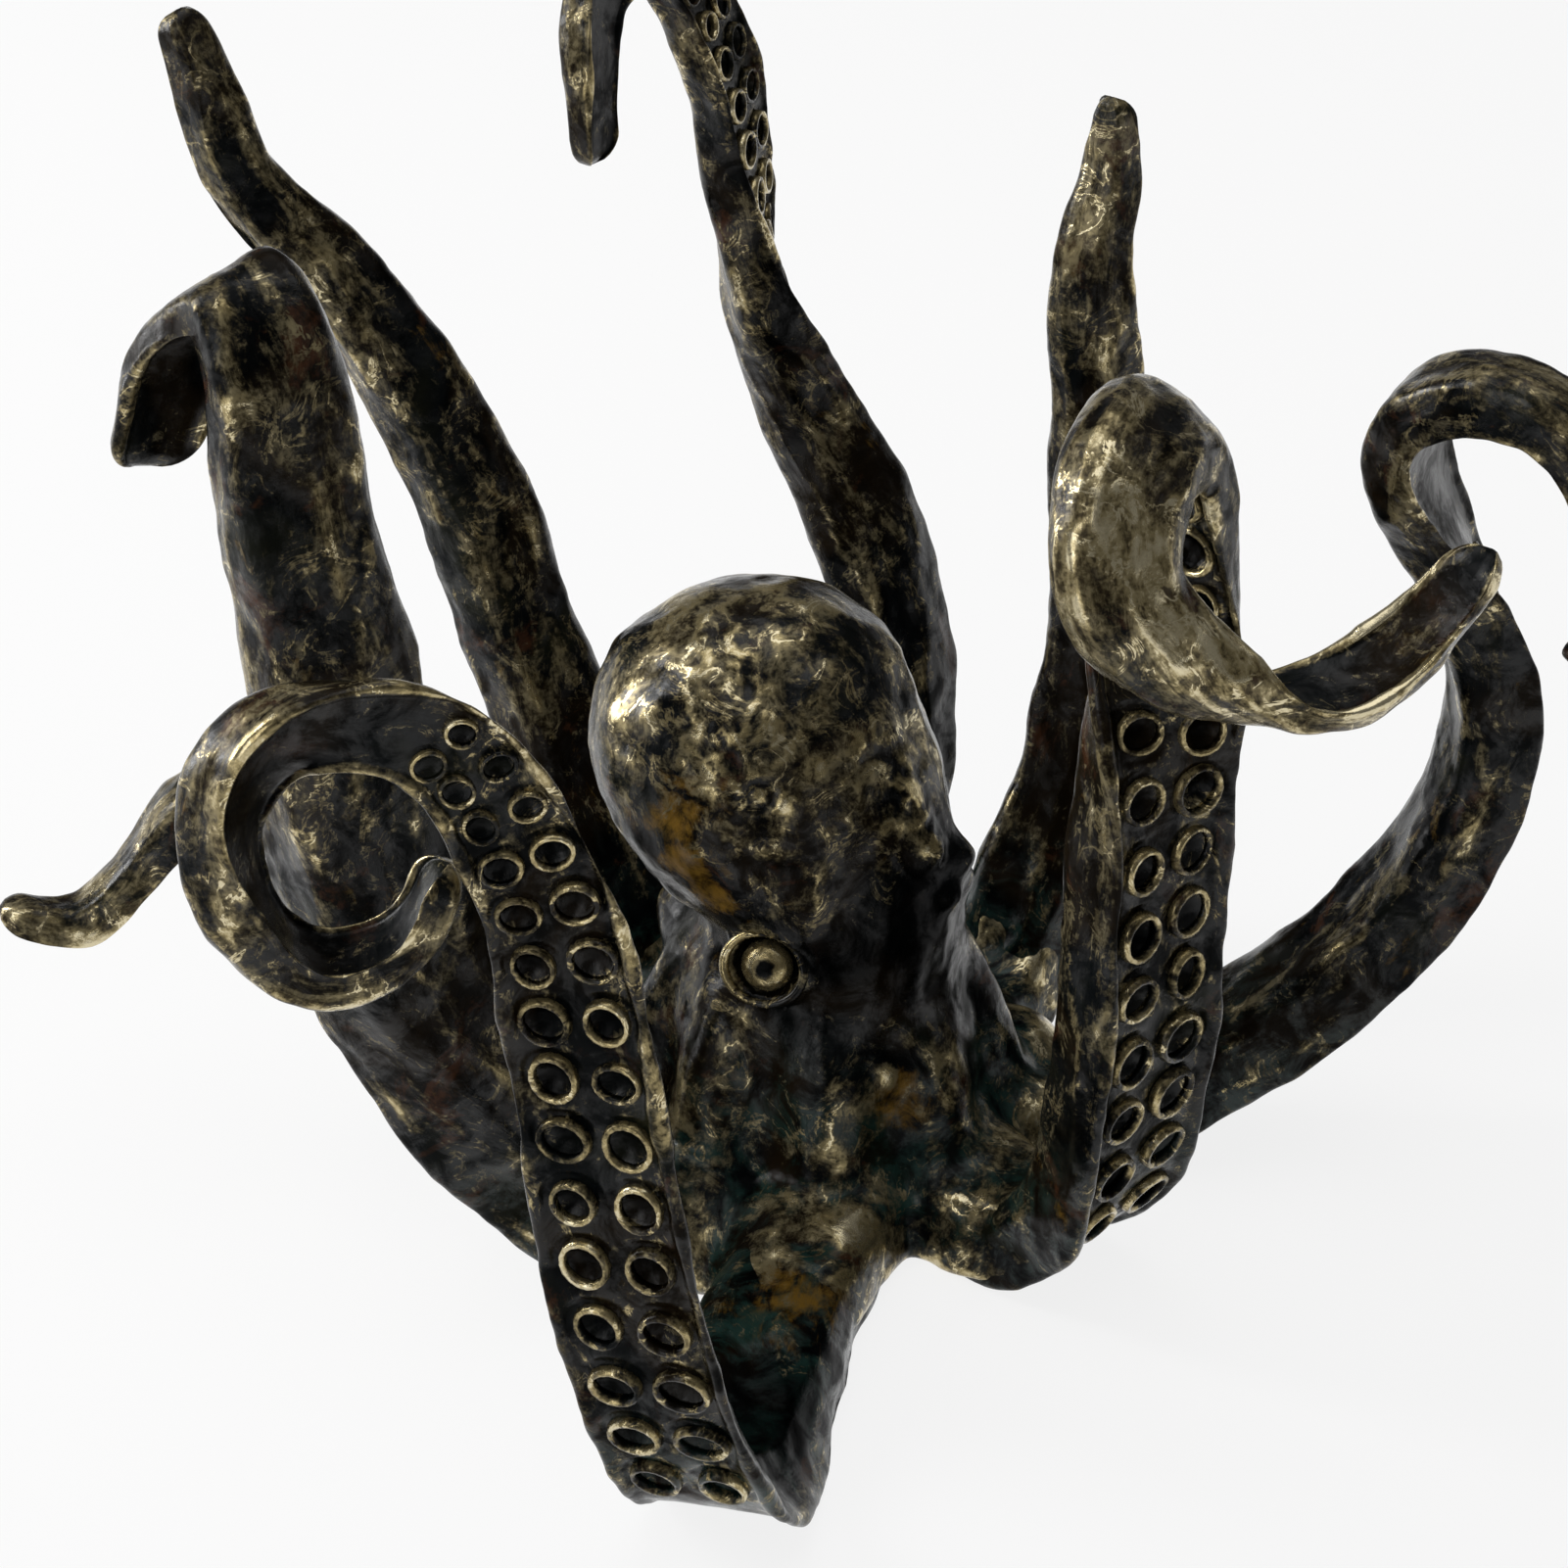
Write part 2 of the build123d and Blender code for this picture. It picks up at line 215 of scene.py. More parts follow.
def arm_line(arm):
    """Places along an arm, its headings, the ways across its sucker face and out through its back."""
    turn = math.radians(arm["azimuth"])
    outward = np.array([math.cos(turn), math.sin(turn), 0])
    sideways = np.array([-math.sin(turn), math.cos(turn), 0])
    stops = [(0, 0, ROOT_UP), (NECK, 0, ROOT_UP)] + arm["stops"]
    points = [
        outward * (SEAT_DISTANCE + out) + sideways * side + np.array([0, 0, up])
        for out, side, up in stops
    ]
    places, length = spline_places(points, RING_STEP)
    headings = np.gradient(places, axis=0)
    headings /= np.linalg.norm(headings, axis=1)[:, None]
    headings[0] = outward
    along = np.linspace(0, 1, len(places))
    face = np.array([0, 0, -1.0])
    faces = []
    for heading, angle in zip(headings, turned_by(arm, along)):
        face = face - heading * face.dot(heading)
        face /= np.linalg.norm(face)
        faces.append(face * math.cos(angle) + np.cross(heading, face) * math.sin(angle))
    backs = -np.array(faces)
    across = np.cross(headings, -backs)
    return dict(places=places, along=along, length=length, heading=headings, back=backs, across=across)


lines = {name: arm_line(arm) for name, arm in ARMS.items()}
for name, line in lines.items():
    print(name, "runs", round(line["length"]), "mm in", len(line["places"]), "rings")

# %% [markdown]
# ## The arms
# A section is drawn once, as a share of the arm's width: a shallow trough for the suckers, a raised lip
# along both edges and a rounded back. Sweeping it along the line gives the ribbon. A sweep in code was
# chosen over a bevelled curve because the trough can then be dished under every sucker, and every point
# can be pushed a little, as a thumb in wax would.

# %% Sweeping a ribbon
THICKNESS_SHARE = 0.58
FOOT_SHARE = 0.14
SECTION_POINTS = 108
LIP_CROWDING = 1.5
# the height of the flattened feet above the table
FLOOR = 0.25
# right half of the section from mid-face to mid-back: share of half width, share of thickness
HALF_SECTION = [
    (0.00, 0.10), (0.40, 0.10), (0.74, 0.085), (0.82, 0.05), (0.87, -0.02), (0.95, -0.055), (1.02, -0.01),
    (1.03, 0.10), (1.00, 0.34), (0.95, 0.62), (0.86, 0.86), (0.70, 0.985), (0.45, 1.035), (0.00, 1.04),
]


def rounded(outline, times):
    """A closed outline with its corners cut again and again."""
    for _ in range(times):
        following = np.roll(outline, -1, axis=0)
        near = 0.75 * outline + 0.25 * following
        far = 0.25 * outline + 0.75 * following
        outline = np.stack([near, far], 1).reshape(-1, 2)
    return outline


def crowded(outline, count):
    """The same closed outline with as many points as asked, closer together on the lips."""
    closed = np.concatenate([outline, outline[:1]])
    steps = np.linalg.norm(np.diff(closed, axis=0), axis=1)
    on_lip = np.exp(-(((abs(closed[1:, 0]) - 0.92) / 0.12) ** 2) - (closed[1:, 1] / 0.2) ** 2)
    run = np.concatenate([[0], np.cumsum(steps * (1 + LIP_CROWDING * on_lip))])
    even = np.linspace(0, run[-1], count, endpoint=False)
    return np.stack([np.interp(even, run, closed[:, axis]) for axis in range(2)], 1)


def arm_section():
    """The whole section, mirrored from its right half."""
    right = np.array(HALF_SECTION)
    left = right[-2:0:-1] * [-1, 1]
    return crowded(rounded(np.concatenate([right, left]), 2), SECTION_POINTS)


def arm_widths(arm, line):
    """As wide as the seat at the root, broad at the foot, then a long taper to a blunt round tip."""
    along = line["along"]
    tapered = arm["tip"] + (arm["broad"] - arm["tip"]) * (1 - along ** arm["taper"])
    widths = ROOT_WIDTH + (tapered - ROOT_WIDTH) * eased(along / FOOT_SHARE)
    if "waist" in arm:
        place, reach, share = arm["waist"]
        widths = widths * (1 - share * np.exp(-(((along - place) / reach) ** 2)))
    rounding = np.clip(1 - (1 - along) * line["length"] / (arm["tip"] / 2), 0, 1)
    return widths * np.sqrt(np.clip(1 - rounding**2, 0.01, 1))


def risen(arm, line):
    """1 where the arm is slender, 0 elsewhere."""
    start, full, end, gone = arm["slender"]
    along = line["along"]
    return eased((along - start) / (full - start)) * (1 - eased((along - end) / (gone - end)))


def arm_thickness(arm, line):
    """A fixed share of the width, less where the arm is slender."""
    return arm_widths(arm, line) * THICKNESS_SHARE * (1 - (1 - arm["thin"]) * risen(arm, line))


def arm_sections(arm, line, proud=0.0):
    """The section at every place; where the arm is slender its walls lean in towards the back."""
    widths = arm_widths(arm, line)
    lean = arm["lean"] * risen(arm, line)
    half = widths / 2 + proud
    face = widths * THICKNESS_SHARE / 2 + proud
    depth = arm_thickness(arm, line) + 2 * proud
    across = section[:, 0] * (1 - lean[:, None] * eased(section[:, 1])) * half[:, None]
    through = section[:, 1] * depth[:, None] - face[:, None]
    return np.stack([across, through], 2)


def tube_faces(rings, corners):
    """Four-cornered faces round a tube of rings, with a fan at both ends."""
    faces = []
    for ring in range(rings - 1):
        for corner in range(corners):
            following = (corner + 1) % corners
            low, high = ring * corners, (ring + 1) * corners
            faces.append((low + corner, low + following, high + following, high + corner))
    first, last = rings * corners, rings * corners + 1
    top = (rings - 1) * corners
    for corner in range(corners):
        following = (corner + 1) % corners
        faces.append((first, following, corner))
        faces.append((last, top + corner, top + following))
    return faces


def sweep(places, across, back, sections):
    """Points of a tube: each section laid across its place, then the middles of both ends."""
    rings = places[:, None] + sections[..., :1] * across[:, None] + sections[..., 1:] * back[:, None]
    ends = np.stack([rings[0].mean(0), rings[-1].mean(0)])
    return np.concatenate([rings.reshape(-1, 3), ends])


section = arm_section()
trough = (1 - eased((abs(section[:, 0]) - 0.72) / 0.14)) * (section[:, 1] < 0.3)
lip = np.exp(-(((abs(section[:, 0]) - 0.96) / 0.07) ** 2)) * (section[:, 1] < 0.15)
shoulder = np.exp(-(((abs(section[:, 0]) - 0.86) / 0.07) ** 2) - ((section[:, 1] - 0.88) / 0.09) ** 2)
print("section:", len(section), "points,", int((trough > 0.5).sum()), "of them in the trough")

# %% [markdown]
# ## Suckers
# Two rows of suckers run up the trough, smaller towards the tip. Each is a thin raised rim round a
# dish. They repeat along a path, so a Geometry Nodes tree makes them: it bends one rim, sets it on
# every point, turns it to the arm's face and scales it by the arm's width there. The dish is pressed
# into the ribbon itself.

# %% Where the suckers sit
TROUGH_DEPTH = 0.10
PITCH_SHARE = 0.42
ROW_SHARE = 0.215
RIM_SHARE = 0.136
SUCKER_START = 9.0
SUCKER_CLEAR = 3.0
# suckers whose face looks further down than this are left off
SUCKER_LOWEST = -0.5


def sucker_seats(arm, line):
    """Middle, way out, way along and rim radius of every sucker on an arm."""
    widths = arm_widths(arm, line)
    thickness = arm_thickness(arm, line)
    seats = []
    run = SUCKER_START
    while run < arm["suckers_end"] * line["length"]:
        i = int(run / line["length"] * (len(widths) - 1))
        out = -line["back"][i]
        floor = line["places"][i] + out * (widths[i] * THICKNESS_SHARE / 2 - thickness[i] * TROUGH_DEPTH)
        for side in (-1, 1):
            middle = floor + line["across"][i] * side * widths[i] * ROW_SHARE
            if middle[2] > SUCKER_CLEAR and out[2] > SUCKER_LOWEST:
                seats.append((middle, out, line["heading"][i], widths[i] * RIM_SHARE * arm["sucker_size"]))
        run += widths[i] * PITCH_SHARE * arm["sucker_size"]
    return seats


seats = {name: sucker_seats(arm, lines[name]) for name, arm in ARMS.items()}
print("suckers:", {name: len(found) for name, found in seats.items()})

# %% [markdown]
# ### The tree
# The tree takes the places of the suckers as points. It sweeps a small circle along a larger one to
# make a rim, and sets a copy on every point. Named inputs say how thick, how tall and how uneven a rim
# is, and a seed fixes the unevenness.

# %% The tree that sets the rims
RIM_THICKNESS = 0.17
RIM_HEIGHT = 2.2
RIM_UNEVENNESS = 0.13
RIM_CORNERS = 16
RIM_SIDES = 6


def link(tree, start, end):
    tree.links.new(start, end)


def reckon(tree, operation, *values):
    """One Math node; each value is a socket or a number."""
    node = tree.nodes.new("ShaderNodeMath")
    node.operation = operation
    for socket, value in zip(node.inputs, values):
        if isinstance(value, (int, float)):
            socket.default_value = value
        else:
            link(tree, value, socket)
    return node.outputs[0]


def carried(tree, title, kind):
    """A value or a vector that every sucker point carries."""
    node = tree.nodes.new("GeometryNodeInputNamedAttribute")
    node.data_type = kind
    node.inputs["Name"].default_value = title
    return node.outputs["Attribute"]


def rim_tree(material):
    """Geometry Nodes: one bent rim on every point, turned and scaled by the point's own attributes."""
    tree = bpy.data.node_groups.new("sucker rims", "GeometryNodeTree")
    face = tree.interface
    face.new_socket("Geometry", in_out="INPUT", socket_type="NodeSocketGeometry")
    titles = ("Rim thickness", "Rim height", "Unevenness")
    for title, value in zip(titles, (RIM_THICKNESS, RIM_HEIGHT, RIM_UNEVENNESS)):
        socket = face.new_socket(title, in_out="INPUT", socket_type="NodeSocketFloat")
        socket.default_value = value
    face.new_socket("Seed", in_out="INPUT", socket_type="NodeSocketInt")
    face.new_socket("Geometry", in_out="OUTPUT", socket_type="NodeSocketGeometry")
    new = tree.nodes.new
    given = new("NodeGroupInput")

    path = new("GeometryNodeCurvePrimitiveCircle")
    path.inputs["Resolution"].default_value = RIM_CORNERS
    path.inputs["Radius"].default_value = 1.0
    profile = new("GeometryNodeCurvePrimitiveCircle")
    profile.inputs["Resolution"].default_value = RIM_SIDES
    rim = new("GeometryNodeCurveToMesh")
    tall = new("ShaderNodeCombineXYZ")
    tall.inputs[0].default_value = 1
    tall.inputs[1].default_value = 1
    shape = new("GeometryNodeTransform")
    shade = new("GeometryNodeSetShadeSmooth")
    link(tree, given.outputs["Rim thickness"], profile.inputs["Radius"])
    link(tree, path.outputs["Curve"], rim.inputs["Curve"])
    link(tree, profile.outputs["Curve"], rim.inputs["Profile Curve"])
    link(tree, given.outputs["Rim height"], tall.inputs[2])
    link(tree, rim.outputs["Mesh"], shape.inputs["Geometry"])
    link(tree, tall.outputs[0], shape.inputs["Scale"])
    link(tree, shape.outputs["Geometry"], shade.inputs["Geometry"])

    rotation = None
    for axis, pivot, title in (("Z", "AUTO", "out"), ("X", "Z", "heading")):
        align = new("FunctionNodeAlignRotationToVector")
        align.axis = axis
        align.pivot_axis = pivot
        link(tree, carried(tree, title, "FLOAT_VECTOR"), align.inputs["Vector"])
        if rotation is not None:
            link(tree, rotation, align.inputs["Rotation"])
        rotation = align.outputs["Rotation"]
    uneven = new("FunctionNodeRandomValue")
    uneven.data_type = "FLOAT_VECTOR"
    link(tree, reckon(tree, "SUBTRACT", 1, given.outputs["Unevenness"]), uneven.inputs["Min"])
    link(tree, reckon(tree, "ADD", 1, given.outputs["Unevenness"]), uneven.inputs["Max"])
    link(tree, given.outputs["Seed"], uneven.inputs["Seed"])
    scale = new("ShaderNodeVectorMath")
    scale.operation = "SCALE"
    link(tree, uneven.outputs["Value"], scale.inputs[0])
    link(tree, carried(tree, "size", "FLOAT"), scale.inputs["Scale"])

    place = new("GeometryNodeInstanceOnPoints")
    link(tree, given.outputs["Geometry"], place.inputs["Points"])
    link(tree, shade.outputs["Geometry"], place.inputs["Instance"])
    link(tree, rotation, place.inputs["Rotation"])
    link(tree, scale.outputs["Vector"], place.inputs["Scale"])
    real = new("GeometryNodeRealizeInstances")
    finish = new("GeometryNodeSetMaterial")
    finish.inputs["Material"].default_value = material
    result = new("NodeGroupOutput")
    link(tree, place.outputs["Instances"], real.inputs["Geometry"])
    link(tree, real.outputs["Geometry"], finish.inputs["Geometry"])
    link(tree, finish.outputs["Geometry"], result.inputs["Geometry"])
    return tree


# %% [markdown]
# ## The finish
# Antiqued bronze is a dark patina over yellow metal. The patina shifts between black, brown and a hint
# of green, and the maker rubs it back on edges, rims and lumps until the gold shows. Every mesh carries
# what steers this: rub says how far a point stands proud of its surroundings, shade how deep it lies,
# which darkens it as patina kept in recesses and as painted shade, touch how often a hand reaches it,
# and amber_and_glint where the patina stayed amber and where amber highlights are painted on. Grain is
# the place with the long way of the piece drawn out, so that streaks run along an arm. Noise breaks all
# of them up, and thin veins wander over the dark skin, so that no line is clean.

# %% Shader helpers
def attribute(tree, title):
    """A value that the mesh carries."""
    node = tree.nodes.new("ShaderNodeAttribute")
    node.attribute_name = title
    return node.outputs["Fac"]


def cloud(tree, scale, detail=4.0, roughness=0.55, distortion=0.0, by=None):
    """Noise with so many features to the metre, in Object coordinates or by an attribute of the mesh."""
    if by is None:
        place = tree.nodes.new("ShaderNodeTexCoord").outputs["Object"]
    else:
        carrier = tree.nodes.new("ShaderNodeAttribute")
        carrier.attribute_name = by
        place = carrier.outputs["Vector"]
    node = tree.nodes.new("ShaderNodeTexNoise")
    node.inputs["Scale"].default_value = scale
    node.inputs["Detail"].default_value = detail
    node.inputs["Roughness"].default_value = roughness
    node.inputs["Distortion"].default_value = distortion
    link(tree, place, node.inputs["Vector"])
    return node.outputs["Fac"]


def sums(tree, *terms):
    """Each value times its factor, added up."""
    total = 0
    for value, factor in terms:
        total = reckon(tree, "MULTIPLY_ADD", value, factor, total)
    return total


def mask(tree, value, low, high, start=0.0, end=1.0):
    """A smooth step from start at low to end at high."""
    node = tree.nodes.new("ShaderNodeMapRange")
    node.interpolation_type = "SMOOTHSTEP"
    for title, number in (("From Min", low), ("From Max", high), ("To Min", start), ("To Max", end)):
        node.inputs[title].default_value = number
    link(tree, value, node.inputs["Value"])
    return node.outputs["Result"]


def ramp(tree, value, stops):
    """A colour ramp; every stop is a position and a colour."""
    node = tree.nodes.new("ShaderNodeValToRGB")
    elements = node.color_ramp.elements
    while len(elements) < len(stops):
        elements.new(0.5)
    for element, (position, colour) in zip(elements, stops):
        element.position = position
        element.color = colour + (1,)
    link(tree, value, node.inputs["Fac"])
    return node.outputs["Color"]


def mixed(tree, factor, first, second):
    """Two colours mixed by a factor; either may be a socket or a colour."""
    node = tree.nodes.new("ShaderNodeMix")
    node.data_type = "RGBA"
    link(tree, factor, node.inputs["Factor"])
    for title, colour in (("A", first), ("B", second)):
        socket = next(s for s in node.inputs if s.name == title and s.type == "RGBA")
        if isinstance(colour, tuple):
            socket.default_value = colour + (1,)
        else:
            link(tree, colour, socket)
    return next(s for s in node.outputs if s.type == "RGBA")


print("shader helpers:", [tool.__name__ for tool in (attribute, cloud, sums, mask, ramp, mixed)])

# %% [markdown]
# ### Mixing the bronze
# Five clouds of noise, from broad to fine, are weighed against what the mesh carries. Their sum says
# how far the patina is worn. A little wear thins it to bronze, and more bares the gold, which also
# turns metallic there. Where the shade is deep the skin goes black and reflects less: patina kept in
# recesses, and painted shade.

# %% Bronze
BLACK = (0.0008, 0.0010, 0.0010)
UMBER = (0.0085, 0.0055, 0.0026)
SLATE = (0.0030, 0.0040, 0.0045)
OLIVE = (0.0080, 0.0086, 0.0044)
COPPER = (0.050, 0.020, 0.009)
AMBER = (0.19, 0.105, 0.016)
TEAL = (0.012, 0.040, 0.033)
DULL_BRONZE = (0.055, 0.042, 0.021)
BRONZE = (0.120, 0.097, 0.050)
FAIR_BRONZE = (0.185, 0.155, 0.088)
GOLD = (0.38, 0.305, 0.150)
PALE_GOLD = (0.68, 0.60, 0.40)
# how much wear thins the patina to bronze, bares the gold and brightens it: where each starts and is full
THINNED = (1.38, 1.76)
BARED = (1.66, 1.96)
BRIGHTENED = (1.72, 2.02)
# heights in mm between which the green tint by the table fades out
TINT_FADE = (10, 42)
BUMP_STRENGTH = 0.8
BUMP_HEIGHT = 0.6


def bronze_material():
    """Dark patina, thinned to bronze and rubbed back to gold by what the mesh carries."""
    material = bpy.data.materials.new("antiqued bronze")
    material.use_nodes = True
    tree = material.node_tree
    shader = tree.nodes["Principled BSDF"]
    rub = attribute(tree, "rub")
    shade = attribute(tree, "shade")
    touch = attribute(tree, "touch")
    amber_and_glint = attribute(tree, "amber_and_glint")
    broad = cloud(tree, 38, 3, 0.5, 0.6)
    middle = cloud(tree, 140, 6, 0.68, 0.6)
    fine = cloud(tree, 900, 4, 0.70, 0.4)
    streak = cloud(tree, 300, 8, 0.72, 0.9, "grain")
    patch = cloud(tree, 150, 2, 0.5, 0.6, "grain")
    wander = reckon(tree, "SUBTRACT", cloud(tree, 130, 5, 0.62, 1.3), 0.5)
    vein = mask(tree, reckon(tree, "ABSOLUTE", wander), 0.004, 0.034, 1, 0)
    vein = reckon(tree, "MULTIPLY", vein, mask(tree, middle, 0.44, 0.58))

    patina = ramp(tree, broad, [(0.30, BLACK), (0.42, UMBER), (0.50, BLACK), (0.58, SLATE), (0.68, OLIVE)])
    # open_skin is 1 outside the painted shade and keeps copper and amber out of it
    open_skin = mask(tree, shade, 0.15, 0.32, 1, 0.1)
    copper = mask(tree, cloud(tree, 85, 6, 0.68, 0.5), 0.57, 0.68, 0, 0.8)
    patina = mixed(tree, reckon(tree, "MULTIPLY", copper, open_skin), patina, COPPER)
    # amber_and_glint raises the amber and keeps gold off: amber patina on the mantle, painted amber
    # highlights on the arm's root and chin
    amber = sums(tree, (cloud(tree, 90, 6, 0.68, 0.5), 0.9), (streak, 0.9), (amber_and_glint, 0.30))
    amber = mask(tree, amber, 1.02, 1.32, 0, 0.9)
    patina = mixed(tree, reckon(tree, "MULTIPLY", amber, open_skin), patina, AMBER)
    height = tree.nodes.new("ShaderNodeSeparateXYZ")
    place = tree.nodes.new("ShaderNodeTexCoord")
    link(tree, place.outputs["Object"], height.inputs["Vector"])
    by_table = mask(tree, height.outputs["Z"], TINT_FADE[0] * MM, TINT_FADE[1] * MM, 1, 0)
    tint = reckon(tree, "MULTIPLY", by_table, mask(tree, middle, 0.42, 0.66, 0, 0.9))
    patina = mixed(tree, tint, patina, TEAL)
    # painted shade: deep points are mixed towards black, partly as patina kept in recesses
    patina = mixed(tree, mask(tree, shade, 0.2, 1.1, 0, 0.85), patina, BLACK)

    worn = sums(tree, (streak, 1.00), (patch, 1.10), (fine, 0.50), (vein, 0.32), (rub, 0.42), (touch, 0.34))
    worn = reckon(tree, "SUBTRACT", worn, sums(tree, (shade, 0.45), (amber_and_glint, 0.22)))
    thin = mask(tree, worn, *THINNED, 0, 0.95)
    crest = mask(tree, sums(tree, (worn, 1.0), (rub, 0.26)), *BARED)
    gold = mixed(tree, mask(tree, worn, *BRIGHTENED), GOLD, PALE_GOLD)
    skin = sums(tree, (streak, 0.6), (fine, 0.4))
    bronze = ramp(tree, skin, [(0.43, DULL_BRONZE), (0.50, BRONZE), (0.57, FAIR_BRONZE)])
    colour = mixed(tree, crest, mixed(tree, thin, patina, bronze), gold)
    link(tree, colour, shader.inputs["Base Color"])
    link(tree, sums(tree, (crest, 0.60), (thin, 0.36)), shader.inputs["Metallic"])
    gloss = mask(tree, skin, 0.36, 0.64, 0.09, 0.24)
    link(tree, gloss, shader.inputs["Roughness"])
    sheen = mask(tree, middle, 0.40, 0.62, 0.04, 0.30)
    # painted shade on reflections: the specular level drops where the shade is deep
    sheen = reckon(tree, "MULTIPLY", mask(tree, shade, 0.0, 0.8, 1, 0.2), sheen)
    link(tree, sheen, shader.inputs["Specular IOR Level"])
    bump = tree.nodes.new("ShaderNodeBump")
    bump.inputs["Strength"].default_value = BUMP_STRENGTH
    bump.inputs["Distance"].default_value = BUMP_HEIGHT * MM
    swell = cloud(tree, 120, 2, 0.5, 0.4)
    grain = sums(tree, (swell, 0.90), (streak, 0.26), (fine, 0.10))
    link(tree, grain, bump.inputs["Height"])
    link(tree, bump.outputs["Normal"], shader.inputs["Normal"])
    return material


bronze = bronze_material()
print("finish:", bronze.name, len(bronze.node_tree.nodes), "nodes")

# %% [markdown]
# ## Shared helpers for the castings
# These helpers serve every casting. They make a mesh, push its points about, measure how far each point
# stands proud of its surroundings by comparing the surface with a smoothed copy of itself, and hand the
# finished piece to the frame.

# %% Helpers
def mesh_piece(name, points, faces):
    """An object at the origin, from points in millimetres."""
    mesh = bpy.data.meshes.new(name)
    mesh.from_pydata((np.asarray(points) * MM).tolist(), [], faces)
    mesh.update()
    piece = bpy.data.objects.new(name, mesh)
    bpy.context.collection.objects.link(piece)
    return piece


def mesh_points(mesh):
    """Points, normals and edges of a mesh; points in millimetres."""
    points = np.empty(len(mesh.vertices) * 3)
    mesh.vertices.foreach_get("co", points)
    normals = np.empty(len(mesh.vertices) * 3)
    mesh.vertices.foreach_get("normal", normals)
    edges = np.empty(len(mesh.edges) * 2, int)
    mesh.edges.foreach_get("vertices", edges)
    return points.reshape(-1, 3) / MM, normals.reshape(-1, 3), edges.reshape(-1, 2)


def set_points(mesh, points):
    mesh.vertices.foreach_set("co", (points * MM).ravel())
    mesh.update()


def smoothed(points, edges, rounds):
    """Every point drawn half way to the middle of its neighbours, so many times."""
    count = len(points)
    neighbours = np.maximum(np.bincount(edges.ravel(), minlength=count), 1)[:, None]
    ends = np.concatenate([edges, edges[:, ::-1]])
    for _ in range(rounds):
        pulls = [np.bincount(ends[:, 0], column[ends[:, 1]], count) for column in points.T]
        points = (points + np.stack(pulls, 1) / neighbours) / 2
    return points


def proudness(points, normals, edges, rounds):
    """How far each point stands out from a smoothed copy of its surface."""
    return ((points - smoothed(points, edges, rounds)) * normals).sum(1)


def lumps(points, size, height, seed):
    """How far a thumb pushed each point: soft noise of one size, in millimetres."""
    shift = Vector((seed * 17.3, seed * 5.1, seed * 11.7))
    return np.array([noise.fractal(Vector(p) / size + shift, 0.9, 2.1, 3) for p in points]) * height


def dents(points, size, height, seed):
    """Shallow dents side by side, as a modelling tool leaves them, with ridges where they meet."""
    shift = Vector((seed * 7.9, seed * 13.3, seed * 3.7))
    return np.array([noise.voronoi(Vector(p) / size + shift)[0][0] for p in points]) ** 2 * height


# rub and shade are measured over so many rounds of smoothing, and are full at so many millimetres; deep
# shade stands for patina kept in recesses and for painted shade
RUB_ROUNDS = 6
RUB_FULL = 0.16
RUB_MOST = 0.54
LIP_RUB = 0.60
SHADE_ROUNDS = 30
SHADE_FULL = 0.9
# how far the whole sucker face is darkened, as patina kept in the trough and as painted shade
TROUGH_SHADE = 0.27
REST_TOUCH = 0.25
DRAWN_OUT = 0.38
BODY_GRAIN = (0.62, 0.62, 0.48)


def store(mesh, title, values, kind="FLOAT"):
    """One value or one vector for every point of a mesh."""
    found = mesh.attributes.new(title, kind, "POINT")
    found.data.foreach_set("value" if kind == "FLOAT" else "vector", np.asarray(values, np.float32).ravel())


# where the patina has stayed amber on the mantle, and where amber highlights are painted on the front arm's
# root and the chin: middle and radius
AMBER_AND_GLINT_SPOTS = [
    ((-22, -19, 73), 8), ((-20, -20, 66), 7), ((-17, -20, 60), 5), ((-4, -55, 12), 9), ((10, -19, 24), 7),
]


def spotted(points, spots):
    """1 in the middle of a spot, fading to 0 round it."""
    found = np.zeros(len(points))
    for middle, radius in spots:
        away = np.linalg.norm(points - middle, axis=1)
        found = np.maximum(found, np.exp(-((away / radius) ** 2)))
    return found


def filled(values, count, rest):
    """One value for all points, or values for the first points and a set value for the rest."""
    if np.ndim(values) == 0:
        return np.full(count, values)
    return np.concatenate([values, np.full(count - len(values), rest)])


def wear(mesh, lips, dark_colour_and_painted_shade, touch, grain=None, plain=0.0):
    """Stores what steers the finish on every point.

    rub is high on crests and lips; shade is high in recesses, where it darkens the skin as patina kept
    there and as painted shade; touch is where hands reach, and grain is the place with the long way of
    the piece drawn out. Plain is how proud the points stood before thumb and tool."""
    points, normals, edges = mesh_points(mesh)
    count = len(points)
    near = proudness(points, normals, edges, RUB_ROUNDS) - filled(plain, count, 0.0)
    far = proudness(points, normals, edges, SHADE_ROUNDS)
    proud = smoothed(np.stack([near / RUB_FULL, -far / SHADE_FULL], 1), edges, 1)
    rub = np.clip(proud[:, 0] + LIP_RUB * filled(lips, count, 0.0), 0, RUB_MOST)
    # deep points and what dark_colour_and_painted_shade asks for are darkened: patina in recesses, painted
    # shade, and the pupil's own dark
    shade = np.clip(np.maximum(proud[:, 1], TROUGH_SHADE * filled(dark_colour_and_painted_shade, count, 0.0)), 0, 1)
    places = points * BODY_GRAIN
    if grain is not None:
        places[:len(grain)] = grain
    store(mesh, "rub", rub)
    store(mesh, "shade", shade)
    store(mesh, "touch", filled(touch, count, REST_TOUCH))
    store(mesh, "amber_and_glint", spotted(points, AMBER_AND_GLINT_SPOTS))
    store(mesh, "grain", places * MM, "FLOAT_VECTOR")


def hand_over(piece, node):
    """The piece stands for its CAD node and rides on the one body."""
    piece.data.shade_smooth()
    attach(piece, "root")
    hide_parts(node)
    print(node, len(piece.data.vertices), "points", len(piece.data.polygons), "faces")


